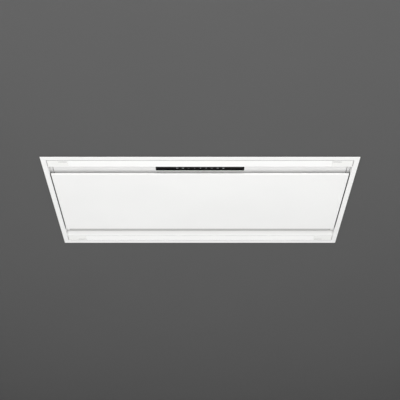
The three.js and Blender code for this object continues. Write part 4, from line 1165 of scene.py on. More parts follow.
@dataclass(frozen=True)
class OpalPlastic(Finish):
    """A frosted cover whose face glows evenly from behind; its sides don't glow and are painted
    darker as shade.
    """

    grain: float = 0.4 * MM
    depth: float = 0.004 * MM
    glow: float = 0.16
    lit_below: float = 0.9 * MM
    side_shade: float = 0.4

    def wire(self, wiring: Wiring, surface: bpy.types.Node, groups: Groups) -> None:
        """Links frosting and glow.

        Args:
            wiring: the material's wiring.
            surface: its Principled BSDF.
            groups: the shared node groups.
        """
        frost = placed(wiring, groups.grain, Colour=self.colour, Grain_Size=self.grain,
                       Tone_Drift=0.006, Roughness=self.roughness, Gloss_Drift=0.02)
        height = wiring.add("ShaderNodeSeparateXYZ", Vector=wiring.place()).outputs[2]
        unlit = wiring.ranged(height, self.lit_below - 0.3 * MM, self.lit_below, 0, 1)
        # the sides take a darker colour as painted shade
        tone, side = frost.outputs["Colour"], tuple(c * self.side_shade for c in self.colour)
        wiring.connect(
            surface, Base_Color=wiring.blend(unlit, tone, side),
            Roughness=frost.outputs["Roughness"],
            Emission_Color=wiring.blend(unlit, tone, (0.0, 0.0, 0.0)),
            Emission_Strength=self.glow)
        self.relief(wiring, surface, frost.outputs["Height"], self.depth)


@dataclass(frozen=True)
class PrintedGlass(Finish):
    """Polished glass, printed black from behind, with the faint film that fingers leave."""

    smear_tone: float = 1.6
    smear_dull: float = 0.12
    specular: float = 0.06

    def wire(self, wiring: Wiring, surface: bpy.types.Node, groups: Groups) -> None:
        """Links the print and the film.

        Args:
            wiring: the material's wiring.
            surface: its Principled BSDF.
            groups: the shared node groups.
        """
        film = wiring.add("ShaderNodeTexNoise", Vector=wiring.place((1, 3, 1)), Scale=24.0,
                          Detail=5.0).outputs[0]
        smear = wiring.ranged(film, 0.45, 0.75, 0, 1)
        smeared = tuple(c * self.smear_tone for c in self.colour)
        wiring.connect(
            surface, Base_Color=wiring.blend(smear, self.colour, smeared),
            Roughness=wiring.ranged(smear, 0, 1, self.roughness, self.roughness + self.smear_dull),
            Specular_IOR_Level=self.specular)


@dataclass(frozen=True)
class SolderMask(Finish):
    """A white circuit board with yellow diodes, which stand out below it."""

    grain: float = 0.8 * MM
    depth: float = 0.01 * MM
    diode_below: float = 11.58 * MM
    diode_colour: Colour = (0.85, 0.62, 0.12)

    def wire(self, wiring: Wiring, surface: bpy.types.Node, groups: Groups) -> None:
        """Links board and diodes.

        Args:
            wiring: the material's wiring.
            surface: its Principled BSDF.
            groups: the shared node groups.
        """
        height = wiring.add("ShaderNodeSeparateXYZ", Vector=wiring.place()).outputs[2]
        on_board = wiring.ranged(height, self.diode_below - CLOSE, self.diode_below, 0, 1)
        mask = placed(wiring, groups.grain, Colour=self.colour, Grain_Size=self.grain,
                      Roughness=self.roughness)
        wiring.connect(
            surface, Base_Color=wiring.blend(on_board, self.diode_colour, mask.outputs["Colour"]),
            Roughness=mask.outputs["Roughness"])
        self.relief(wiring, surface, mask.outputs["Height"], self.depth)


@dataclass(frozen=True)
class CellFoam(Finish):
    """Closed-cell foam with open pores on its cut faces."""

    pores_per_metre: float = 700.0
    pore_shade: float = 0.5
    depth: float = 0.3 * MM

    def wire(self, wiring: Wiring, surface: bpy.types.Node, groups: Groups) -> None:
        """Links the pores.

        Args:
            wiring: the material's wiring.
            surface: its Principled BSDF.
            groups: the shared node groups.
        """
        pores = wiring.add("ShaderNodeTexVoronoi", {"feature": "F1"}, Vector=wiring.place(),
                           Scale=self.pores_per_metre).outputs["Distance"]
        pore = tuple(c * self.pore_shade for c in self.colour)
        wiring.connect(surface, Base_Color=wiring.blend(
            wiring.ranged(pores, 0.1, 0.6, 0, 1), pore, self.colour))
        self.relief(wiring, surface, pores, self.depth)


PAINT_WHITE: Colour = (0.9, 0.9, 0.89)
PLASTIC_WHITE: Colour = (0.9, 0.9, 0.88)
# the grey of the painted shade in the rim's joints
PAINTED_JOINT_SHADE: Colour = (0.2, 0.2, 0.2)
SHEET_ALUMINIUM: Colour = (0.72, 0.73, 0.74)
MESH_ALUMINIUM: Colour = (0.7, 0.71, 0.72)


def body_of(node: str) -> str:
    """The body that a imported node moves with."""
    return next(name for name, members in frame["record"]["behaviour"]["bodies"].items()
                if node in members)


class Finishes:
    """Every finish of the hood, built once."""

    def __init__(self) -> None:
        """Builds the groups and the materials."""
        groups = Groups()
        self.paint = GrainedCoat("white powder coat", Slot.WHITE_PAINT, PAINT_WHITE, 0.38,
                                 coat=0.15)
        # the rim's upright is painted darker inside, as shade in the joints beside the light
        # strips and beside the panel's short sides
        self.rim_shaded_paint = ShadedCoat(
            "white powder coat on the rim", Slot.WHITE_PAINT, PAINT_WHITE, 0.38, coat=0.15,
            painted_shades=(PaintedShade(PAINTED_JOINT_SHADE, half=(579 * MM, 280.8 * MM), softness=0.4 * MM),
                   PaintedShade(PAINTED_JOINT_SHADE, half=(581 * MM, 190 * MM), softness=0.5 * MM)))
        self.inner_paint = GrainedCoat(
            "white satin coat", Slot.WHITE_PAINT, (0.89, 0.89, 0.88), 0.45)
        # a darker copy of the satin coat, painted darker still towards the panel as shade in the
        # far channel
        self.far_shaded_paint = ShadedCoat(
            "white satin coat with a painted shade near the panel", Slot.WHITE_PAINT, (0.77, 0.77, 0.76), 0.45,
            painted_shades=(PaintedShade((0.42, 0.42, 0.41), half=(1.0, 252 * MM), from_z=17 * MM,
                        softness=40 * MM),))
        # a darker copy of the satin coat, painted darker beside the panel's short sides as shade
        # in the gap
        self.trim_shaded_paint = ShadedCoat(
            "white satin coat beside the panel", Slot.WHITE_PAINT, (0.83, 0.83, 0.82), 0.45,
            painted_shades=(PaintedShade((0.12, 0.12, 0.12), half=(1.0, 180 * MM), softness=4 * MM),))
        self.zinc = ZincSheet("galvanised sheet", Slot.GALVANISED, (0.62, 0.64, 0.65), 0.42)
        self.aluminium = DrawnMetal("rolled aluminium", Slot.ALUMINIUM, SHEET_ALUMINIUM, 0.36)
        self.can = DrawnMetal("drawn aluminium can", Slot.ALUMINIUM, SHEET_ALUMINIUM, 0.3,
                              along_x=0.0)
        self.filter_mesh = ExpandedMesh("expanded aluminium", Slot.FILTER_MESH, MESH_ALUMINIUM,
                                        0.4)
        self.strand = DrawnMetal("aluminium strands", Slot.FILTER_MESH, MESH_ALUMINIUM, 0.34,
                                 along_x=0.0)
        self.board = SolderMask("white solder mask", Slot.CIRCUIT_BOARD, (0.85, 0.86, 0.84),
                                0.45)
        self.opal = OpalPlastic("lit opal cover", Slot.OPAL, (0.82, 0.82, 0.81), 0.38)
        self.print = OpalPlastic("lit white print", Slot.OPAL, (0.5, 0.51, 0.52), 0.4,
                                 glow=0.1, lit_below=25 * MM)
        self.white_plastic = GrainedCoat("white moulded plastic", Slot.WHITE_PLASTIC,
                                         PLASTIC_WHITE, 0.42, grain=0.5 * MM)
        # the caps are painted darker above their face, as shade in the joints round them
        self.shaded_cap_plastic = ShadedCoat(
            "white moulded caps", Slot.WHITE_PLASTIC, PLASTIC_WHITE, 0.42, grain=0.5 * MM,
            painted_shades=(PaintedShade((0.25, 0.25, 0.25)),))
        self.glass = PrintedGlass("black printed glass", Slot.BLACK_GLASS,
                                  (0.005, 0.005, 0.0055), 0.1)
        self.black = GrainedCoat("black moulded plastic", Slot.BLACK_PLASTIC,
                                 (0.03, 0.03, 0.032), 0.5, grain=0.45 * MM,
                                 depth=0.02 * MM, edge_colour=(0.075, 0.075, 0.08))
        self.grey = GrainedCoat("grey moulded plastic", Slot.GREY_PLASTIC,
                                (0.16, 0.165, 0.17), 0.5, grain=0.5 * MM,
                                depth=0.02 * MM, edge_colour=(0.26, 0.265, 0.27))
        self.steel = DrawnMetal("zinc-plated steel", Slot.BRIGHT_STEEL, (0.58, 0.59, 0.6),
                                0.28, contrast=0.04)
        self.foam = CellFoam("sealing foam", Slot.FOAM, (0.03, 0.03, 0.03), 0.9)
        self.made = {
            finish.name: finish.build(groups)
            for finish in vars(self).values() if isinstance(finish, Finish)
        }

    def dress(self, piece: bpy.types.Object, finish: Finish, body: str = "housing") -> None:
        """Gives a new piece its finish's material and its body.

        Args:
            piece: the piece.
            finish: its finish.
            body: the body that it moves with.
        """
        piece.data.materials.clear()
        piece.data.materials.append(self.made[finish.name])
        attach(piece, body)
        log.info("%s: %s, %d faces", piece.name, finish.name, len(piece.data.polygons))

    def dress_copy(self, node: str, finish: Finish, width: float, segments: int = 2) -> None:
        """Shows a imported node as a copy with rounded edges, on the node's own body.

        Args:
            node: the node's name.
            finish: its finish.
            width: the width of the rounding.
            segments: the facets of each rounding.
        """
        piece = refined(node, width, segments)
        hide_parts(node)
        self.dress(piece, finish, body_of(node))

    def dress_node(self, node: str, finish: Finish) -> None:
        """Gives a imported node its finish.

        Args:
            node: the node's name.
            finish: its finish.
        """
        owner = frame["nodes"][node]
        if not owner.material_slots:
            owner.data.materials.append(None)
        for slot in owner.material_slots:
            slot.material = self.made[finish.name]
        log.info("%s: %s, packed mesh", node, finish.name)


# ---------------------------------------------------------------- the visible underside


@dataclass
class Rim:
    """The flange under the ceiling with its upright, in one folded sheet."""

    half: Point = (0.600, 0.300)
    flange: float = 20 * MM
    height: float = 36 * MM
    thickness: float = 2 * MM
    fold: float = 0.8 * MM
    corner: float = 1.2 * MM
    rounding: float = 0.3 * MM

    def build(self, finishes: Finishes) -> None:
        """Models the rim.

        Args:
            finishes: the hood's finishes.
        """
        half_x, half_y = self.half
        piece = plate("rim", (-half_x, -half_y), (half_x, half_y), 0)
        with editing(piece, "FACE"):
            bpy.ops.mesh.select_all(action="SELECT")
            bpy.ops.mesh.inset(thickness=self.flange)
            bpy.ops.mesh.delete(type="FACE")
        with editing(piece, "EDGE"):
            pick_edges(piece, lambda a, b: self.on_upright(a) and self.on_upright(b))
            bpy.ops.mesh.extrude_region_move(TRANSFORM_OT_translate={"value": (0, 0, self.height)})
            pick_edges(piece, lambda a, b: (
                self.on_upright(a) and self.on_upright(b) and max(a.z, b.z) < CLOSE))
            bpy.ops.mesh.bevel(offset=self.fold, segments=4, affect="EDGES")
        face_like(piece, Vector((half_x - self.flange / 2, 0, 0)), Vector((0, 0, -1)))
        apply_modifier(piece, "SOLIDIFY", thickness=self.thickness, offset=-1,
                       use_even_offset=True)
        with editing(piece, "EDGE"):
            pick_edges(piece, lambda a, b: self.at_corner(a) and self.at_corner(b))
            bpy.ops.mesh.bevel(offset=self.corner, segments=4, affect="EDGES")
        soften(piece, self.rounding, 3)
        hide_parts("flange_frame")
        finishes.dress(piece, finishes.rim_shaded_paint)

    def on_upright(self, spot: Vector) -> bool:
        """Whether a point lies on the flange's inner edge or on the upright."""
        return all(abs(place) < half - self.flange + CLOSE
                   for place, half in zip(spot.xy, self.half))

    def at_corner(self, spot: Vector) -> bool:
        """Whether a point lies at an outer corner of the flange."""
        return all(abs(place) > half - CLOSE for place, half in zip(spot.xy, self.half))


@dataclass
class Channel:
    """One long channel, folded from a single sheet: light pocket, slope, flat and filter lip."""

    side: Side
    wall: float = 0.280
    half_length: float = 0.5797
    flat_half: float = 0.5658
    sheet: float = 1.2 * MM
    bend: float = 1.8 * MM
    fold: float = 1.3 * MM
    gap: float = 0.3 * MM
    pocket: Point = (37 * MM, 15 * MM)
    crease_z: float = -2.589 * MM  # the sharp corner, below the rounded crease
    slope_end: float = 51.67 * MM
    flat_z: float = 20 * MM
    lip: float = 130 * MM
    lip_top: float = 32 * MM
    past: float = 4 * MM
    notch_end: float = 0.6
    notch_z: Point = (0.5 * MM, 40 * MM)
    glass_half: float = 171.3 * MM
    glass_reach: Point = (55.87 * MM, 86.47 * MM)
    glass_z: Point = (18 * MM, 23 * MM)
    latch_half: float = 11 * MM
    latch_z: Point = (21.6 * MM, 26.4 * MM)
    tab_half: float = 10 * MM
    tab_z: Point = (21.6 * MM, 24.1 * MM)
    tab_offset: float = 110 * MM

    def build(self, finishes: Finishes) -> None:
        """Models the channel on its side.

        Args:
            finishes: the hood's finishes.
        """
        sign = self.side.sign
        wide, roof = self.pocket
        inwards = ((self.gap, self.lip_top, 0), (self.gap, roof, self.bend),
                   (wide, roof, self.bend), (wide, self.crease_z, self.fold),
                   (self.slope_end, self.flat_z, self.bend), (self.lip, self.flat_z, self.bend),
                   (self.lip, self.lip_top, 0))
        path = [Fold(sign * (self.wall - reach), z, radius) for reach, z, radius in inwards]
        piece = folded(f"{self.side.value}_channel_sheet", path,
                       (-self.half_length, self.half_length), Axis.X, self.sheet,
                       (0, -sign, 0), segments=6)
        carve(piece, *self.notches(), *self.windows())
        soften(piece, 0.2 * MM, 2)
        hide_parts(f"{self.side.value}_channel")
        front = self.side is Side.FRONT
        # the far channel's sheet gets the coat with painted shade
        finishes.dress(piece, finishes.inner_paint if front else finishes.far_shaded_paint)

    def tool(self, name: str, x: Point, reach: Point, z: Point) -> bpy.types.Object:
        """A cutting block, whose reach is counted from the upright inwards.

        Args:
            name: its name.
            x: where it starts and ends along X.
            reach: where it starts and ends from the upright.
            z: where it starts and ends upwards.

        Returns:
            The block.
        """
        y = sorted(self.side.sign * (self.wall - r) for r in reach)
        return block(name, (x[0], y[0], z[0]), (x[1], y[1], z[1]))

    def notches(self) -> list[bpy.types.Object]:
        """The blocks that shorten the flat at both ends.

        Returns:
            The blocks.
        """
        reach = (self.slope_end + self.bend, self.wall)
        return [
            self.tool(f"notch_{i}", tuple(sorted((s * self.flat_half, s * self.notch_end))),
                      reach, self.notch_z)
            for i, s in enumerate((-1, 1))
        ]

    def windows(self) -> list[bpy.types.Object]:
        """The blocks for the touch strip's cut-out and the lip's windows.

        Returns:
            The blocks.
        """
        lip = (self.lip - self.past, self.lip + self.past)
        centres = [i * FILTER_PITCH for i in (-1, 0, 1)]
        if self.side is Side.FRONT:
            glass = self.tool("glass_hole", (-self.glass_half, self.glass_half),
                              self.glass_reach, self.glass_z)
            return [glass] + [
                self.tool(f"latch_hole_{i}", (x - self.latch_half, x + self.latch_half), lip,
                          self.latch_z)
                for i, x in enumerate(centres)
            ]
        tabs = [x + dx for x in centres for dx in (-self.tab_offset, self.tab_offset)]
        return [
            self.tool(f"tab_hole_{i}", (x - self.tab_half, x + self.tab_half), lip, self.tab_z)
            for i, x in enumerate(tabs)
        ]


@dataclass
class SideTrim:
    """The folded trim that closes both flats at one short side."""

    hand: Hand
    inner: float = 568.2 * MM
    outer: float = 579.7 * MM
    half_depth: float = 226.2 * MM
    sheet: float = 1.2 * MM
    bend: float = 1.8 * MM
    low: float = 20 * MM
    top: float = 32 * MM

    def build(self, finishes: Finishes) -> None:
        """Models the trim.

        Args:
            finishes: the hood's finishes.
        """
        name, sign = self.hand.value, self.hand.sign
        inner, outer = sign * self.inner, sign * self.outer
        path = [Fold(inner, self.top), Fold(inner, self.low, self.bend),
                Fold(outer, self.low, self.bend), Fold(outer, self.top)]
        piece = folded(f"{name}_trim_sheet", path, (-self.half_depth, self.half_depth), Axis.Y,
                       self.sheet, (sign, 0, 0), segments=6)
        soften(piece, 0.2 * MM, 2)
        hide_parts(f"{name}_side_trim")
        finishes.dress(piece, finishes.trim_shaded_paint)


@dataclass
class LightStrip:
    """One light strip: opal cover, two end caps, extruded profile and board."""

    side: Side
    lit_half: float = 500 * MM
    end: float = 578 * MM
    outer: float = 278 * MM
    inner: float = 243.3 * MM
    face: float = 0.5 * MM
    wall: float = 1.5 * MM
    legs: Point = (1.5 * MM, 2.7 * MM)
    leg_top: float = 7 * MM
    cap_gap: float = 0.3 * MM
    slot_along: Point = (2.5 * MM, 34.5 * MM)
    slot_in: Point = (7 * MM, 9.5 * MM)

    def section(self) -> list[Point]:
        """The section of cover and caps: a face with two legs that snap into the profile.

        Returns:
            The corners of its outline, across and up.
        """
        face, back, top = self.face, self.face + self.wall, self.leg_top
        near, far = self.legs
        outline = [
            (self.outer, face), (self.outer, back), (self.outer - near, back),
            (self.outer - near, top), (self.outer - far, top), (self.outer - far, back),
            (self.inner + far, back), (self.inner + far, top), (self.inner + near, top),
            (self.inner + near, back), (self.inner, back), (self.inner, face),
        ]
        return [(self.side.sign * y, z) for y, z in outline]

    def build(self, finishes: Finishes) -> None:
        """Models the strip.

        Args:
            finishes: the hood's finishes.
        """
        side = self.side.value
        cover = bar(f"{side}_light_cover", self.section(), (-self.lit_half, self.lit_half), Axis.X)
        soften(cover, 0.35 * MM, 3)
        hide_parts(f"{side}_led_diffuser")
        finishes.dress(cover, finishes.opal)
        for hand in Hand:
            self.build_cap(hand, finishes)
        finishes.dress_copy(f"{side}_led_profile", finishes.aluminium, 0.15 * MM)
        finishes.dress_node(f"{side}_led_board", finishes.board)

    def build_cap(self, hand: Hand, finishes: Finishes) -> None:
        """Models one end cap with its release slot.

        Args:
            hand: the end that it closes.
            finishes: the hood's finishes.
        """
        side, sign = self.side, hand.sign
        start = self.lit_half + self.cap_gap
        run = tuple(sorted((sign * start, sign * self.end)))
        cap = bar(f"{side.value}_light_cap_{hand.value}", self.section(), run, Axis.X)
        slot_x = sorted(sign * (start + d) for d in self.slot_along)
        slot_y = sorted(side.sign * (self.outer - d) for d in self.slot_in)
        carve(cap, block("slot", (slot_x[0], slot_y[0], -1 * MM), (slot_x[1], slot_y[1], 9 * MM)))
        soften(cap, 0.3 * MM, 3)
        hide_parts(f"{side.value}_led_cap_{hand.value}")
        finishes.dress(cap, finishes.shaded_cap_plastic)


@dataclass
class TouchStrip:
    """The black glass strip with its lit marks, and the tray behind it."""

    half_length: float = 171 * MM
    y: Point = (-223.83 * MM, -193.83 * MM)
    face: float = 20 * MM
    glass: float = 3 * MM
    first_mark: float = -88 * MM
    pitch: float = 22.3 * MM
    stroke: float = 0.8 * MM
    inlay: float = 0.08 * MM
    sign_half: float = 2.8 * MM
    digit_size: float = 9 * MM

    @property
    def middle(self) -> float:
        """The y of the strip's centre line."""
        return (self.y[0] + self.y[1]) / 2

    def build(self, finishes: Finishes) -> None:
        """Models glass, marks and tray.

        Args:
            finishes: the hood's finishes.
        """
        glass = block("touch_cover_glass", (-self.half_length, self.y[0], self.face),
                      (self.half_length, self.y[1], self.face + self.glass))
        with editing(glass, "EDGE"):
            pick_edges(glass, lambda a, b: abs(a.z - b.z) > CLOSE)
            bpy.ops.mesh.bevel(offset=2 * MM, segments=5, affect="EDGES")
        soften(glass, 0.5 * MM, 4)
        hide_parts("touch_glass")
        finishes.dress(glass, finishes.glass)
        drawings = (self.power, self.timer, self.minus, self.digit("1"), self.digit("2"),
                    self.digit("3"), self.plus, self.airflow, self.lamp)
        for i, draw in enumerate(drawings):
            parts = draw(Vector((self.first_mark + i * self.pitch, self.middle)))
            mark = join(f"touch_mark_{i + 1}", *parts)
            finishes.dress(mark, finishes.print)
        finishes.dress_copy("touch_module", finishes.black, 0.4 * MM)

    def ring(self, at: Vector, radius: float, sides: int = 28) -> bpy.types.Object:
        """A flat ring on the glass.

        Args:
            at: its centre.
            radius: its outer radius.
            sides: how many sides it has.

        Returns:
            The ring.
        """
        inside = radius - self.stroke
        profile = [(inside, 0), (radius, 0), (radius, self.inlay), (inside, self.inlay),
                   (inside, 0)]
        return turned("ring", profile, (at.x, at.y, self.face - self.inlay), sides)

    def line(self, start: Vector, end: Vector) -> bpy.types.Object:
        """A flat line on the glass between two points.

        Args:
            start: where it starts.
            end: where it ends.

        Returns:
            The line.
        """
        length, angle = (end - start).length, math.atan2(end.y - start.y, end.x - start.x)
        half = self.stroke / 2
        piece = block("line", (-half, -half, 0), (length + half, half, self.inlay))
        turn = Matrix.Rotation(angle, 4, "Z")
        piece.data.transform(Matrix.Translation((*start, self.face - self.inlay)) @ turn)
        return piece

    def power(self, at: Vector) -> list[bpy.types.Object]:
        """An on-off mark: a ring open at the top with a bar in it.

        Args:
            at: its centre.

        Returns:
            Its parts.
        """
        ring = self.ring(at, 3.6 * MM)
        carve(ring, block("gap", (at.x - 1.2 * MM, at.y - 5 * MM, self.face - 1 * MM),
                          (at.x + 1.2 * MM, at.y, self.face + 1 * MM)))
        return [ring, self.line(at - Vector((0, 4 * MM)), at - Vector((0, 0.4 * MM)))]

    def timer(self, at: Vector) -> list[bpy.types.Object]:
        """A clock mark: a ring with two hands."""
        return [self.ring(at, 3.7 * MM), self.line(at, at - Vector((0, 2.1 * MM))),
                self.line(at, at + Vector((1.5 * MM, 0)))]

    def minus(self, at: Vector) -> list[bpy.types.Object]:
        """A minus sign."""
        half = Vector((self.sign_half, 0))
        return [self.line(at - half, at + half)]

    def plus(self, at: Vector) -> list[bpy.types.Object]:
        """A plus sign."""
        half = Vector((0, self.sign_half))
        return [*self.minus(at), self.line(at - half, at + half)]

    def airflow(self, at: Vector) -> list[bpy.types.Object]:
        """A boost mark: two chevrons that point up.

        Args:
            at: its centre.

        Returns:
            Its parts.
        """
        strokes = []
        for drop in (-1.2 * MM, 1.6 * MM):
            tip = at + Vector((0, drop - 1.5 * MM))
            for dx in (-self.sign_half, self.sign_half):
                strokes.append(self.line(tip, tip + Vector((dx, 2.4 * MM))))
        return strokes

    def lamp(self, at: Vector) -> list[bpy.types.Object]:
        """A light mark: a small ring with six rays.

        Args:
            at: its centre.

        Returns:
            Its parts.
        """
        rays = []
        for i in range(6):
            way = Vector((math.sin(i * math.pi / 3), math.cos(i * math.pi / 3)))
            rays.append(self.line(at + way * 2.9 * MM, at + way * 4 * MM))
        return [self.ring(at, 2 * MM)] + rays

    def digit(self, text: str) -> Callable[[Vector], list[bpy.types.Object]]:
        """A function that draws one digit, readable from below.

        Args:
            text: the digit.

        Returns:
            The function, which takes the digit's centre.
        """
        def draw(at: Vector) -> list[bpy.types.Object]:
            """Draws the digit round a centre.

            Args:
                at: the centre.

            Returns:
                The digit, as the only part of its mark.
            """
            bpy.ops.object.text_add()
            letter = bpy.context.object
            letter.data.body = text
            letter.data.size = self.digit_size
            letter.data.align_x = "CENTER"
            letter.data.align_y = "CENTER"
            letter.data.extrude = self.inlay / 2
            activate(letter)
            bpy.ops.object.convert(target="MESH")
            letter = bpy.context.object
            place = Matrix.Translation((*at, self.face - self.inlay / 2))
            letter.data.transform(place @ Matrix.Rotation(math.pi, 4, "X"))
            close_normals(letter)
            return [letter]

        return draw


# ---------------------------------------------------------------- small shared fittings


def screw_head(name: str, radius: float, height: float) -> bpy.types.Object:
    """A pan-head screw that hangs below its seat at z 0, with a cross recess.

    Args:
        name: the object's name.
        radius: the head's radius.
        height: the head's height.

    Returns:
        The screw head.
    """
    head = turned(name, [(0, 0.3 * MM), (radius * 0.5, 0.3 * MM), (radius * 0.5, 0),
                         (radius, 0), (radius, -height * 0.35), (radius * 0.85, -height * 0.75),
                         (radius * 0.5, -height), (0, -height)], (0, 0, 0), 24)
    wide, long = radius * 0.13, radius * 0.6
    low, high = -height * 1.2, -height * 0.45
    carve(head, block("slot_x", (-long, -wide, low), (long, wide, high)))
    carve(head, block("slot_y", (-wide, -long, low), (wide, long, high)))
    smooth(head, 35)
    return head


def rivet_head(name: str, radius: float, height: float) -> bpy.types.Object:
    """A blind rivet that stands on its seat at z 0, with the dimple of its drawn pin.

    Args:
        name: the object's name.
        radius: the head's radius.
        height: the head's height.

    Returns:
        The rivet head.
    """
    head = turned(name, [(0, -0.3 * MM), (radius * 0.5, -0.3 * MM), (radius * 0.5, 0),
                         (radius, 0), (radius, height * 0.4), (radius * 0.8, height * 0.8),
                         (radius * 0.4, height), (radius * 0.3, height),
                         (radius * 0.25, height * 0.4), (0, height * 0.4)], (0, 0, 0), 16)
    smooth(head, 50)
    return head


def bolt_head(name: str, radius: float, height: float, washer: float) -> bpy.types.Object:
    """A hexagon bolt on a round washer that stands on its seat at z 0.

    Args:
        name: the object's name.
        radius: the hexagon's radius.
        height: the hexagon's height.
        washer: the washer's radius.

    Returns:
        The bolt head with its washer.
    """
    hexagon = drum("hexagon", radius, (0, 0, 0.8 * MM), height, 6)
    ring = turned("washer", [(0, 0), (washer, 0), (washer, 1 * MM), (0, 1 * MM)], (0, 0, 0), 32)
    soften(hexagon, 0.5 * MM, 2)
    soften(ring, 0.15 * MM, 2)
    return join(name, ring, hexagon)


# ---------------------------------------------------------------- panel and its fittings


@dataclass
class SuctionPanel:
    """The tray that hides the filters, with its stiffener."""

    half: Point = (576.5 * MM, 191.5 * MM)
    z: Point = (3 * MM, 9 * MM)
    sheet: float = 1 * MM
    fold: float = 1.3 * MM
    rib_half: Point = (575.2 * MM, 188.6 * MM)
    rib_z: Point = (4.3 * MM, 8.7 * MM)
    rib_sheet: float = 0.8 * MM
    rib_bend: float = 1 * MM
    groove_at: float = 66 * MM
    groove: Point = (14 * MM, 8 * MM)
    hole: float = 9 * MM
    hole_pitch: float = 105 * MM
    hole_rows: Sequence[float] = (-130 * MM, 0, 130 * MM)
    hole_cut: Point = (6.5 * MM, 10.5 * MM)

    def build(self, finishes: Finishes) -> None:
        """Models tray and stiffener.

        Args:
            finishes: the hood's finishes.
        """
        body = body_of("suction_panel")
        half_x, half_y = self.half
        low, top = self.z
        tray = plate("panel_tray", (-half_x, -half_y), (half_x, half_y), low)
        with editing(tray, "EDGE"):
            bpy.ops.mesh.select_all(action="SELECT")
            bpy.ops.mesh.extrude_region_move(
                TRANSFORM_OT_translate={"value": (0, 0, top - low)})
            pick_faces(tray, lambda centre: centre.z > top - CLOSE)
            bpy.ops.mesh.delete(type="FACE")
        face_like(tray, Vector((0, 0, low)), Vector((0, 0, -1)))
        with editing(tray, "EDGE"):
            pick_edges(tray, lambda a, b: max(a.z, b.z) < low + CLOSE or abs(a.z - b.z) > CLOSE)
            bpy.ops.mesh.bevel(offset=self.fold, segments=5, affect="EDGES")
        apply_modifier(tray, "SOLIDIFY", thickness=self.sheet, offset=-1, use_even_offset=True,
                       use_quality_normals=True)
        soften(tray, 0.2 * MM, 2)
        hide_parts("suction_panel")
        finishes.dress(tray, finishes.paint, body)
        self.build_stiffener(body, finishes)

    def build_stiffener(self, body: str, finishes: Finishes) -> None:
        """Models the ribbed sheet inside the tray.

        Args:
            body: the body that it moves with.
            finishes: the hood's finishes.
        """
        half_x, edge = self.rib_half
        low, top = self.rib_z
        foot, bend = low + self.rib_sheet, self.rib_bend
        wide, narrow = self.groove
        path = [Fold(edge, low), Fold(edge, top, bend)]
        for side in (1, -1):
            path += [Fold(side * self.groove_at + reach, height, bend) for reach, height in
                     ((wide, top), (narrow, foot), (-narrow, foot), (-wide, top))]
        path += [Fold(-edge, top, bend), Fold(-edge, low)]
        piece = folded("panel_rib_sheet", path, (-half_x, half_x), Axis.X, self.rib_sheet,
                       (0, -1, 0), segments=4)
        start, end = self.hole_cut
        holes = [
            drum(f"hole_{i}_{j}", self.hole, (i * self.hole_pitch, y, start), end - start)
            for i in range(-5, 6) for j, y in enumerate(self.hole_rows)
        ]
        carve(piece, *holes)
        soften(piece, 0.12 * MM, 1)
        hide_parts("panel_stiffener")
        finishes.dress(piece, finishes.aluminium, body)


@dataclass
class PanelFittings:
    """One butt hinge and one magnet, on one side of the hood, with their screws."""

    hand: Hand
    place: float = 420 * MM
    catch_screw: tuple[float, float, float] = (26.5 * MM, -167.5 * MM, 18.1 * MM)
    hinge_screw: tuple[float, float, float] = (22 * MM, 172 * MM, 18.5 * MM)
    pole_half: Point = (18 * MM, 1.2 * MM)
    pole_rows: Point = (-171 * MM, -164 * MM)
    pole_z: Point = (8.85 * MM, 9.8 * MM)

    def build(self, finishes: Finishes) -> None:
        """Models hinge and magnet of one side.

        Args:
            finishes: the hood's finishes.
        """
        name, x = self.hand.value, self.hand.sign * self.place
        for node in (f"hinge_fixed_leaf_{name}", f"hinge_panel_leaf_{name}", f"hinge_pin_{name}"):
            finishes.dress_copy(node, finishes.steel, 0.15 * MM)
        finishes.dress_copy(f"magnet_catch_{name}", finishes.black, 0.5 * MM, 3)
        reach, y, z = self.catch_screw
        screws = row(f"magnet_screws_{name}", screw_head("screw", 2.8 * MM, 1.5 * MM),
                     [(x + dx, y, z) for dx in (-reach, reach)])
        finishes.dress(screws, finishes.steel)
        half_x, half_y = self.pole_half
        poles = [
            block(f"pole_{i}", (x - half_x, y - half_y, self.pole_z[0]),
                  (x + half_x, y + half_y, self.pole_z[1]))
            for i, y in enumerate(self.pole_rows)
        ]
        both = join(f"magnet_poles_{name}", *poles)
        soften(both, 0.2 * MM, 1)
        finishes.dress(both, finishes.steel)
        reach, y, z = self.hinge_screw
        leaf = row(f"hinge_screws_{name}", screw_head("screw", 2.6 * MM, 1.3 * MM),
                   [(x + dx, y, z) for dx in (-reach, 0, reach)])
        finishes.dress(leaf, finishes.steel)


# ---------------------------------------------------------------- filters


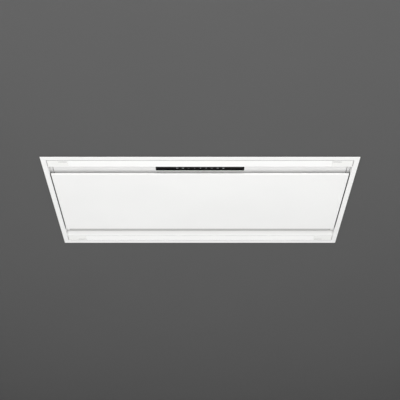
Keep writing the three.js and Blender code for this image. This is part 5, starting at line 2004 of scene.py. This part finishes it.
@dataclass
class Filter:
    """One grease filter: frame, pleated mesh, cover screen and latch."""

    name: str
    centre: float
    half: Point = (178.3 * MM, 139.7 * MM)
    screen_z: float = 21.4 * MM
    cells: tuple[int, int] = (38, 44)
    strand: float = 0.9 * MM
    room_half: float = 22.2 * MM
    room_y: Point = (-150 * MM, -115 * MM)
    room_z: Point = (19 * MM, 24 * MM)
    rib_half: Point = (6 * MM, 0.5 * MM)
    rib_rows: Sequence[float] = (-137 * MM, -135.2 * MM, -133.4 * MM)
    rib_z: Point = (15.8 * MM, 16.6 * MM)

    def build(self, finishes: Finishes) -> None:
        """Models the filter.

        Args:
            finishes: the hood's finishes.
        """
        frame_node, latch_node = f"filter_frame_{self.name}", f"filter_latch_{self.name}"
        finishes.dress_copy(frame_node, finishes.aluminium, 0.5 * MM, 3)
        finishes.dress_node(f"filter_mesh_{self.name}", finishes.filter_mesh)
        finishes.dress(self.screen(), finishes.strand, body_of(frame_node))
        finishes.dress_copy(latch_node, finishes.black, 0.4 * MM, 3)
        half_x, half_y = self.rib_half
        ribs = [
            block(f"rib_{i}", (self.centre - half_x, y - half_y, self.rib_z[0]),
                  (self.centre + half_x, y + half_y, self.rib_z[1]))
            for i, y in enumerate(self.rib_rows)
        ]
        grip = join(f"latch_grip_{self.name}", *ribs)
        soften(grip, 0.25 * MM, 2)
        finishes.dress(grip, finishes.black, body_of(latch_node))

    def screen(self) -> bpy.types.Object:
        """The expanded screen below the pleats, cut round the latch's housing.

        Returns:
            The screen.
        """
        across, deep = self.cells
        bpy.ops.mesh.primitive_grid_add(x_subdivisions=across, y_subdivisions=deep, size=1)
        piece = bpy.context.object
        piece.scale = (2 * self.half[0], 2 * self.half[1], 1)
        piece.location = (self.centre, 0, self.screen_z)
        settle(piece, f"filter_screen_{self.name}")
        with editing(piece, "FACE"):
            bpy.ops.mesh.select_all(action="SELECT")
            bpy.ops.mesh.poke()
        with editing(piece, "EDGE"):
            pick_edges(piece, self.of_grid)
            bpy.ops.mesh.dissolve_edges(use_verts=False)
        apply_modifier(piece, "WIREFRAME", thickness=self.strand, use_even_offset=True,
                       use_boundary=True, use_replace=True)
        low, high = zip((self.centre - self.room_half, self.centre + self.room_half),
                        self.room_y, self.room_z)
        carve(piece, block("room", low, high))
        smooth(piece, 30)
        return piece

    def of_grid(self, a: Vector, b: Vector) -> bool:
        """Whether an edge is one of the screen's square grid, and not of its border.

        Args:
            a: the edge's first end.
            b: its second end.

        Returns:
            Whether it is.
        """
        square = min(abs(a.x - b.x), abs(a.y - b.y)) < CLOSE
        at_side = all(abs(abs(end.x - self.centre) - self.half[0]) < CLOSE for end in (a, b))
        at_end = all(abs(abs(end.y) - self.half[1]) < CLOSE for end in (a, b))
        return square and not (at_side or at_end)


# ---------------------------------------------------------------- housing above the ceiling


@dataclass
class Housing:
    """The galvanised box, its gasket, rails and hangers."""

    rivet_rows: Sequence[float] = (60 * MM, 150 * MM, 240 * MM)
    top_rivets: Sequence[float] = (-220 * MM, -110 * MM, 0.0, 110 * MM, 220 * MM)
    joint_x: float = 575 * MM
    wall_y: float = 283.8 * MM
    top: float = 300 * MM
    rivet: Point = (3.2 * MM, 1.2 * MM)
    hanger: Point = (520 * MM, 220 * MM)
    bolt_reach: float = 33.5 * MM
    bolt_z: float = 302.8 * MM

    def build(self, finishes: Finishes) -> None:
        """Models the housing's pieces.

        Args:
            finishes: the hood's finishes.
        """
        for node in ("housing_shell", "housing_end_left", "housing_end_right",
                     "filter_rail_left", "filter_rail_right"):
            finishes.dress_copy(node, finishes.zinc, 0.3 * MM)
        finishes.dress_copy("ceiling_gasket", finishes.foam, 0.6 * MM)
        self.build_rivets(finishes)
        x, y = self.hanger
        for side in Side:
            for hand in Hand:
                name = f"{side.value}_{hand.value}"
                self.build_hanger(name, hand.sign * x, side.sign * y, finishes)

    def build_rivets(self, finishes: Finishes) -> None:
        """Models the rivets of the joints between the shell and its end plates.

        Args:
            finishes: the hood's finishes.
        """
        joints = [hand.sign * self.joint_x for hand in Hand]
        above = row("top_rivets", rivet_head("rivet", *self.rivet),
                    [(x, y, self.top) for x in joints for y in self.top_rivets])
        finishes.dress(above, finishes.steel)
        for side in Side:
            rivet = rivet_head("rivet", *self.rivet)
            rivet.data.transform(Matrix.Rotation(-side.sign * math.pi / 2, 4, "X"))
            wall = row(f"{side.value}_wall_rivets", rivet,
                       [(x, side.sign * self.wall_y, z) for x in joints for z in self.rivet_rows])
            finishes.dress(wall, finishes.steel)

    def build_hanger(self, name: str, x: float, y: float, finishes: Finishes) -> None:
        """Models one hanger with its two bolts.

        Args:
            name: where it is.
            x: its centre along X.
            y: its centre along Y.
            finishes: the hood's finishes.
        """
        finishes.dress_copy(f"hanger_{name}", finishes.zinc, 0.5 * MM, 3)
        bolts = row(f"hanger_bolts_{name}", bolt_head("bolt", 5.5 * MM, 4 * MM, 7 * MM),
                    [(x, y + dy, self.bolt_z) for dy in (-self.bolt_reach, self.bolt_reach)])
        finishes.dress(bolts, finishes.steel)


@dataclass
class Outlet:
    """The moulded outlet collar with its non-return flaps and their pin."""

    bottom: float = 300.3 * MM
    inner: float = 72.7 * MM
    outer: float = 74.5 * MM
    pin_z: float = 309.2 * MM
    pin_hole: float = 1.7 * MM
    boss_z: Point = (306.3 * MM, 311.8 * MM)
    boss_reach: Point = (-5.5 * MM, 0.6 * MM)
    boss_half: float = 3 * MM
    ribs: int = 12
    rib_half: float = 0.9 * MM
    rib_end: float = 85 * MM
    rib_z: Point = (301.5 * MM, 304.5 * MM)
    rib_slant: float = 1.9 * MM
    screws: int = 6
    screw_circle: float = 84 * MM
    screw_z: float = 302.3 * MM

    def build(self, finishes: Finishes) -> None:
        """Models collar, flaps and pin.

        Args:
            finishes: the hood's finishes.
        """
        self.build_collar(finishes)
        self.build_bosses(finishes)
        self.build_ribs(finishes)
        self.build_screws(finishes)
        for node in ("backdraft_flap_front", "backdraft_flap_rear"):
            finishes.dress_copy(node, finishes.white_plastic, 0.2 * MM)
        finishes.dress_copy("flap_pin", finishes.steel, 0.3 * MM)

    def build_collar(self, finishes: Finishes) -> None:
        """Models the collar, with its flange, bead and flap seat.

        Args:
            finishes: the hood's finishes.
        """
        inner, outer = self.inner, self.outer
        profile = [(r, z * MM) for r, z in (
            (inner, 0), (92.1 * MM, 0), (92.5 * MM, 0.4), (92.5 * MM, 1.6), (92.1 * MM, 2),
            (76 * MM, 2), (75 * MM, 2.5), (outer, 3.6), (outer, 31), (75.3 * MM, 32.2),
            (75.6 * MM, 33.5), (75.3 * MM, 34.8), (outer, 36), (outer, 44.3), (74.2 * MM, 44.8),
            (73.8 * MM, 45), (73.2 * MM, 45), (inner, 44.5), (inner, 8), (69.1 * MM, 8),
            (68.7 * MM, 7.6), (68.7 * MM, 6.4), (69.1 * MM, 6), (inner, 6), (inner, 0))]
        collar = turned("outlet_collar_shown", profile, (0, 0, self.bottom), 128)
        smooth(collar, 35)
        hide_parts("outlet_collar")
        finishes.dress(collar, finishes.white_plastic)

    def build_bosses(self, finishes: Finishes) -> None:
        """Models the two bosses that hold the flaps' pin inside the collar.

        Args:
            finishes: the hood's finishes.
        """
        for hand in Hand:
            x = sorted(hand.sign * (self.inner + d) for d in self.boss_reach)
            boss = block(f"flap_boss_{hand.value}", (x[0], -self.boss_half, self.boss_z[0]),
                         (x[1], self.boss_half, self.boss_z[1]))
            carve(boss, drum("pin_hole", self.pin_hole, (-0.1, 0, self.pin_z), 0.2, 24, Axis.X))
            soften(boss, 0.4 * MM, 2)
            finishes.dress(boss, finishes.white_plastic)

    def build_ribs(self, finishes: Finishes) -> None:
        """Models the small ribs between the collar's wall and its flange.

        Args:
            finishes: the hood's finishes.
        """
        low, high = self.rib_z
        pattern = block("rib", (self.outer - 0.5 * MM, -self.rib_half, low),
                        (self.rib_end, self.rib_half, high))
        with editing(pattern, "EDGE"):
            pick_edges(pattern, lambda a, b: (
                min(a.x, b.x) > self.rib_end - CLOSE and min(a.z, b.z) > high - CLOSE))
            bpy.ops.mesh.bevel(offset=self.rib_slant, segments=1, affect="EDGES")
        turns = [Matrix.Rotation((i + 0.5) * 2 * math.pi / self.ribs, 4, "Z")
                 for i in range(self.ribs)]
        web = join("collar_ribs", *(copied(pattern, f"rib_{i}", turn)
                                    for i, turn in enumerate(turns)))
        bpy.data.objects.remove(pattern)
        soften(web, 0.25 * MM, 1)
        finishes.dress(web, finishes.white_plastic)

    def build_screws(self, finishes: Finishes) -> None:
        """Models the screws on the collar's flange.

        Args:
            finishes: the hood's finishes.
        """
        angles = [i * 2 * math.pi / self.screws for i in range(self.screws)]
        seats = [(self.screw_circle * math.cos(angle), self.screw_circle * math.sin(angle),
                  self.screw_z) for angle in angles]
        screw = screw_head("screw", 3 * MM, 1.6 * MM)
        screw.data.transform(Matrix.Rotation(math.pi, 4, "X"))
        finishes.dress(row("collar_screws", screw, seats), finishes.steel)


@dataclass
class Controls:
    """The control box with its lid and the mains cable gland."""

    centre: float = -320 * MM
    screw_reach: Point = (96 * MM, 57 * MM)
    screw_z: float = 249.9 * MM

    def build(self, finishes: Finishes) -> None:
        """Models box, lid, screws and gland.

        Args:
            finishes: the hood's finishes.
        """
        for node in ("control_box", "control_box_lid"):
            finishes.dress_copy(node, finishes.grey, 0.8 * MM, 3)
        x, y = self.screw_reach
        screws = row("lid_screws", screw_head("screw", 3.2 * MM, 1.8 * MM),
                     [(self.centre + dx, dy, self.screw_z) for dx in (-x, x) for dy in (-y, y)])
        finishes.dress(screws, finishes.steel)
        finishes.dress_copy("cable_gland", finishes.black, 0.5 * MM, 3)


@dataclass
class Blower:
    """The scroll in two halves, the wheel, the motor and its capacitor."""

    nut_place: tuple[float, float, float] = (190 * MM, -90 * MM, 300 * MM)

    def build(self, finishes: Finishes) -> None:
        """Models the blower's pieces.

        Args:
            finishes: the hood's finishes.
        """
        for node in ("scroll_left", "scroll_right"):
            finishes.dress_copy(node, finishes.black, 0.5 * MM)
        for node, finish in (("motor", finishes.steel), ("motor_bracket", finishes.zinc),
                             ("motor_shaft", finishes.steel), ("capacitor", finishes.can)):
            finishes.dress_copy(node, finish, 0.6 * MM, 3)
        finishes.dress_node("impeller", finishes.black)
        nut = row("capacitor_nut", bolt_head("nut", 7 * MM, 5 * MM, 9 * MM), [self.nut_place])
        finishes.dress(nut, finishes.steel)


# ---------------------------------------------------------------- stage, lights and camera


@dataclass(frozen=True)
class Lamp:
    """A soft rectangular lamp, unseen by the camera.

    Attributes:
        name: its name.
        place: where it is.
        target: what it points at.
        size: its width and height.
        power: its power in watts.
    """

    name: str
    place: tuple[float, float, float]
    target: tuple[float, float, float]
    size: Point
    power: float

    def hang(self) -> None:
        """Adds the lamp to the scene."""
        light = bpy.data.lights.new(self.name, "AREA")
        light.shape = "RECTANGLE"
        light.size, light.size_y = self.size
        light.energy = self.power
        lamp = bpy.data.objects.new(self.name, light)
        bpy.context.scene.collection.objects.link(lamp)
        lamp.location = self.place
        lamp.visible_camera = False
        way = Vector(self.target) - Vector(self.place)
        lamp.rotation_euler = way.to_track_quat("-Z", "Y").to_euler()


@dataclass
class Stage:
    """A plain ceiling round the hood and a pale floor, with soft studio light and the camera."""

    ceiling_z: float = 5.4 * MM
    ceiling_half: float = 4.0
    opening: Point = (585 * MM, 285 * MM)
    floor_z: float = -2.6
    floor_half: float = 9.0
    ceiling_tone: float = 0.105
    floor_tone: float = 0.8
    world_pale: float = 0.8
    world_light: float = 0.5
    lamps: tuple[Lamp, ...] = (
        Lamp("lamp_below", (0, 0, -2.5), (0, 0, 0), (5.0, 5.0), 61),
        Lamp("lamp_front", (0, -3.4, -1.4), (0, 0, 0), (4.4, 1.7), 87),
        Lamp("lamp_above", (-1.6, -1.9, 2.7), (0, 0, 0.2), (2.6, 2.6), 50),
    )
    lens: float = 62.1
    camera_place: tuple[float, float, float] = (0.0, -2.298, -1.637)
    camera_tilt: float = 125.77

    def build(self) -> None:
        """Adds ceiling, floor, world, lamps and camera."""
        ceiling = plate("stage_ceiling", (-self.ceiling_half,) * 2, (self.ceiling_half,) * 2,
                        self.ceiling_z)
        x, y = self.opening
        carve(ceiling, block("cut_out", (-x, -y, -0.1), (x, y, 0.1)))
        beside = (self.ceiling_half / 2, 0, self.ceiling_z)
        face_like(ceiling, Vector(beside), Vector((0, 0, -1)))
        ceiling.data.materials.append(self.ceiling_material())
        floor = plate("stage_floor", (-self.floor_half,) * 2, (self.floor_half,) * 2,
                      self.floor_z)
        floor.data.materials.append(self.floor_material())
        self.light_world()
        for lamp in self.lamps:
            lamp.hang()
        camera = bpy.data.objects.new("camera", bpy.data.cameras.new("camera"))
        bpy.context.scene.collection.objects.link(camera)
        camera.location = self.camera_place
        camera.rotation_euler = (math.radians(self.camera_tilt), 0, 0)
        camera.data.lens = self.lens
        bpy.context.scene.camera = camera
        bpy.context.scene.view_settings.view_transform = "Standard"

    def ceiling_material(self) -> bpy.types.Material:
        """A matt ceiling with a pale upper side, which the camera sees through from above.

        Light from below doesn't pass it, so the room's lamps don't reach the housing.

        Returns:
            The material.
        """
        material, wiring, surface = new_material("stage ceiling")
        noise = wiring.add("ShaderNodeTexNoise", Vector=wiring.place(), Scale=1.7, Detail=3.0)
        tone = self.ceiling_tone
        below = wiring.blend(noise.outputs[0], (tone * 0.97,) * 3, (tone * 1.03,) * 3)
        behind = wiring.add("ShaderNodeNewGeometry").outputs["Backfacing"]
        wiring.connect(surface, Base_Color=wiring.blend(behind, below, (self.floor_tone,) * 3),
                       Roughness=0.9, Specular_IOR_Level=0.1)
        rays = wiring.add("ShaderNodeLightPath").outputs
        clear = wiring.ranged(behind, 0, 1, rays["Is Shadow Ray"], rays["Is Camera Ray"])
        glassy = wiring.add("ShaderNodeBsdfTransparent").outputs[0]
        mix = wiring.add("ShaderNodeMixShader")
        wiring.fill_first(mix, clear, surface.outputs[0], glassy)
        wiring.connect(material.node_tree.nodes["Material Output"], Surface=mix.outputs[0])
        return material

    def floor_material(self) -> bpy.types.Material:
        """A pale matt floor.

        Returns:
            The material.
        """
        material, wiring, surface = new_material("stage floor")
        wiring.connect(surface, Base_Color=(self.floor_tone,) * 3, Roughness=0.8,
                       Specular_IOR_Level=0.2)
        return material

    def light_world(self) -> None:
        """Sets a pale world that lights the scene softly."""
        world = bpy.data.worlds.new("studio")
        bpy.context.scene.world = world
        world.use_nodes = True
        wiring = Wiring(world.node_tree)
        back = world.node_tree.nodes["Background"]
        seen = wiring.add("ShaderNodeLightPath").outputs["Is Camera Ray"]
        strength = wiring.ranged(seen, 0, 1, self.world_light, self.world_pale)
        wiring.connect(back, Color=(1, 1, 1), Strength=strength)


# ---------------------------------------------------------------- the whole hood


@dataclass
class Hood:
    """The whole hood, made of its sub-assemblies."""

    finishes: Finishes = field(default_factory=Finishes)

    def build(self) -> None:
        """Builds every sub-assembly."""
        parts = [
            Rim(), *(Channel(side) for side in Side), *(SideTrim(hand) for hand in Hand),
            *(LightStrip(side) for side in Side), TouchStrip(), SuctionPanel(),
            *(PanelFittings(hand) for hand in Hand),
            *(Filter(name, i * FILTER_PITCH)
              for name, i in (("left", -1), ("centre", 0), ("right", 1))),
            Housing(), Outlet(), Controls(), Blower(),
        ]
        for part in parts:
            log.info("building %s", type(part).__name__)
            part.build(self.finishes)


def main() -> None:
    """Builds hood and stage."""
    logging.basicConfig(level=logging.INFO, format="%(name)s: %(message)s")
    Hood().build()
    Stage().build()


if __name__ == "__main__":
    main()
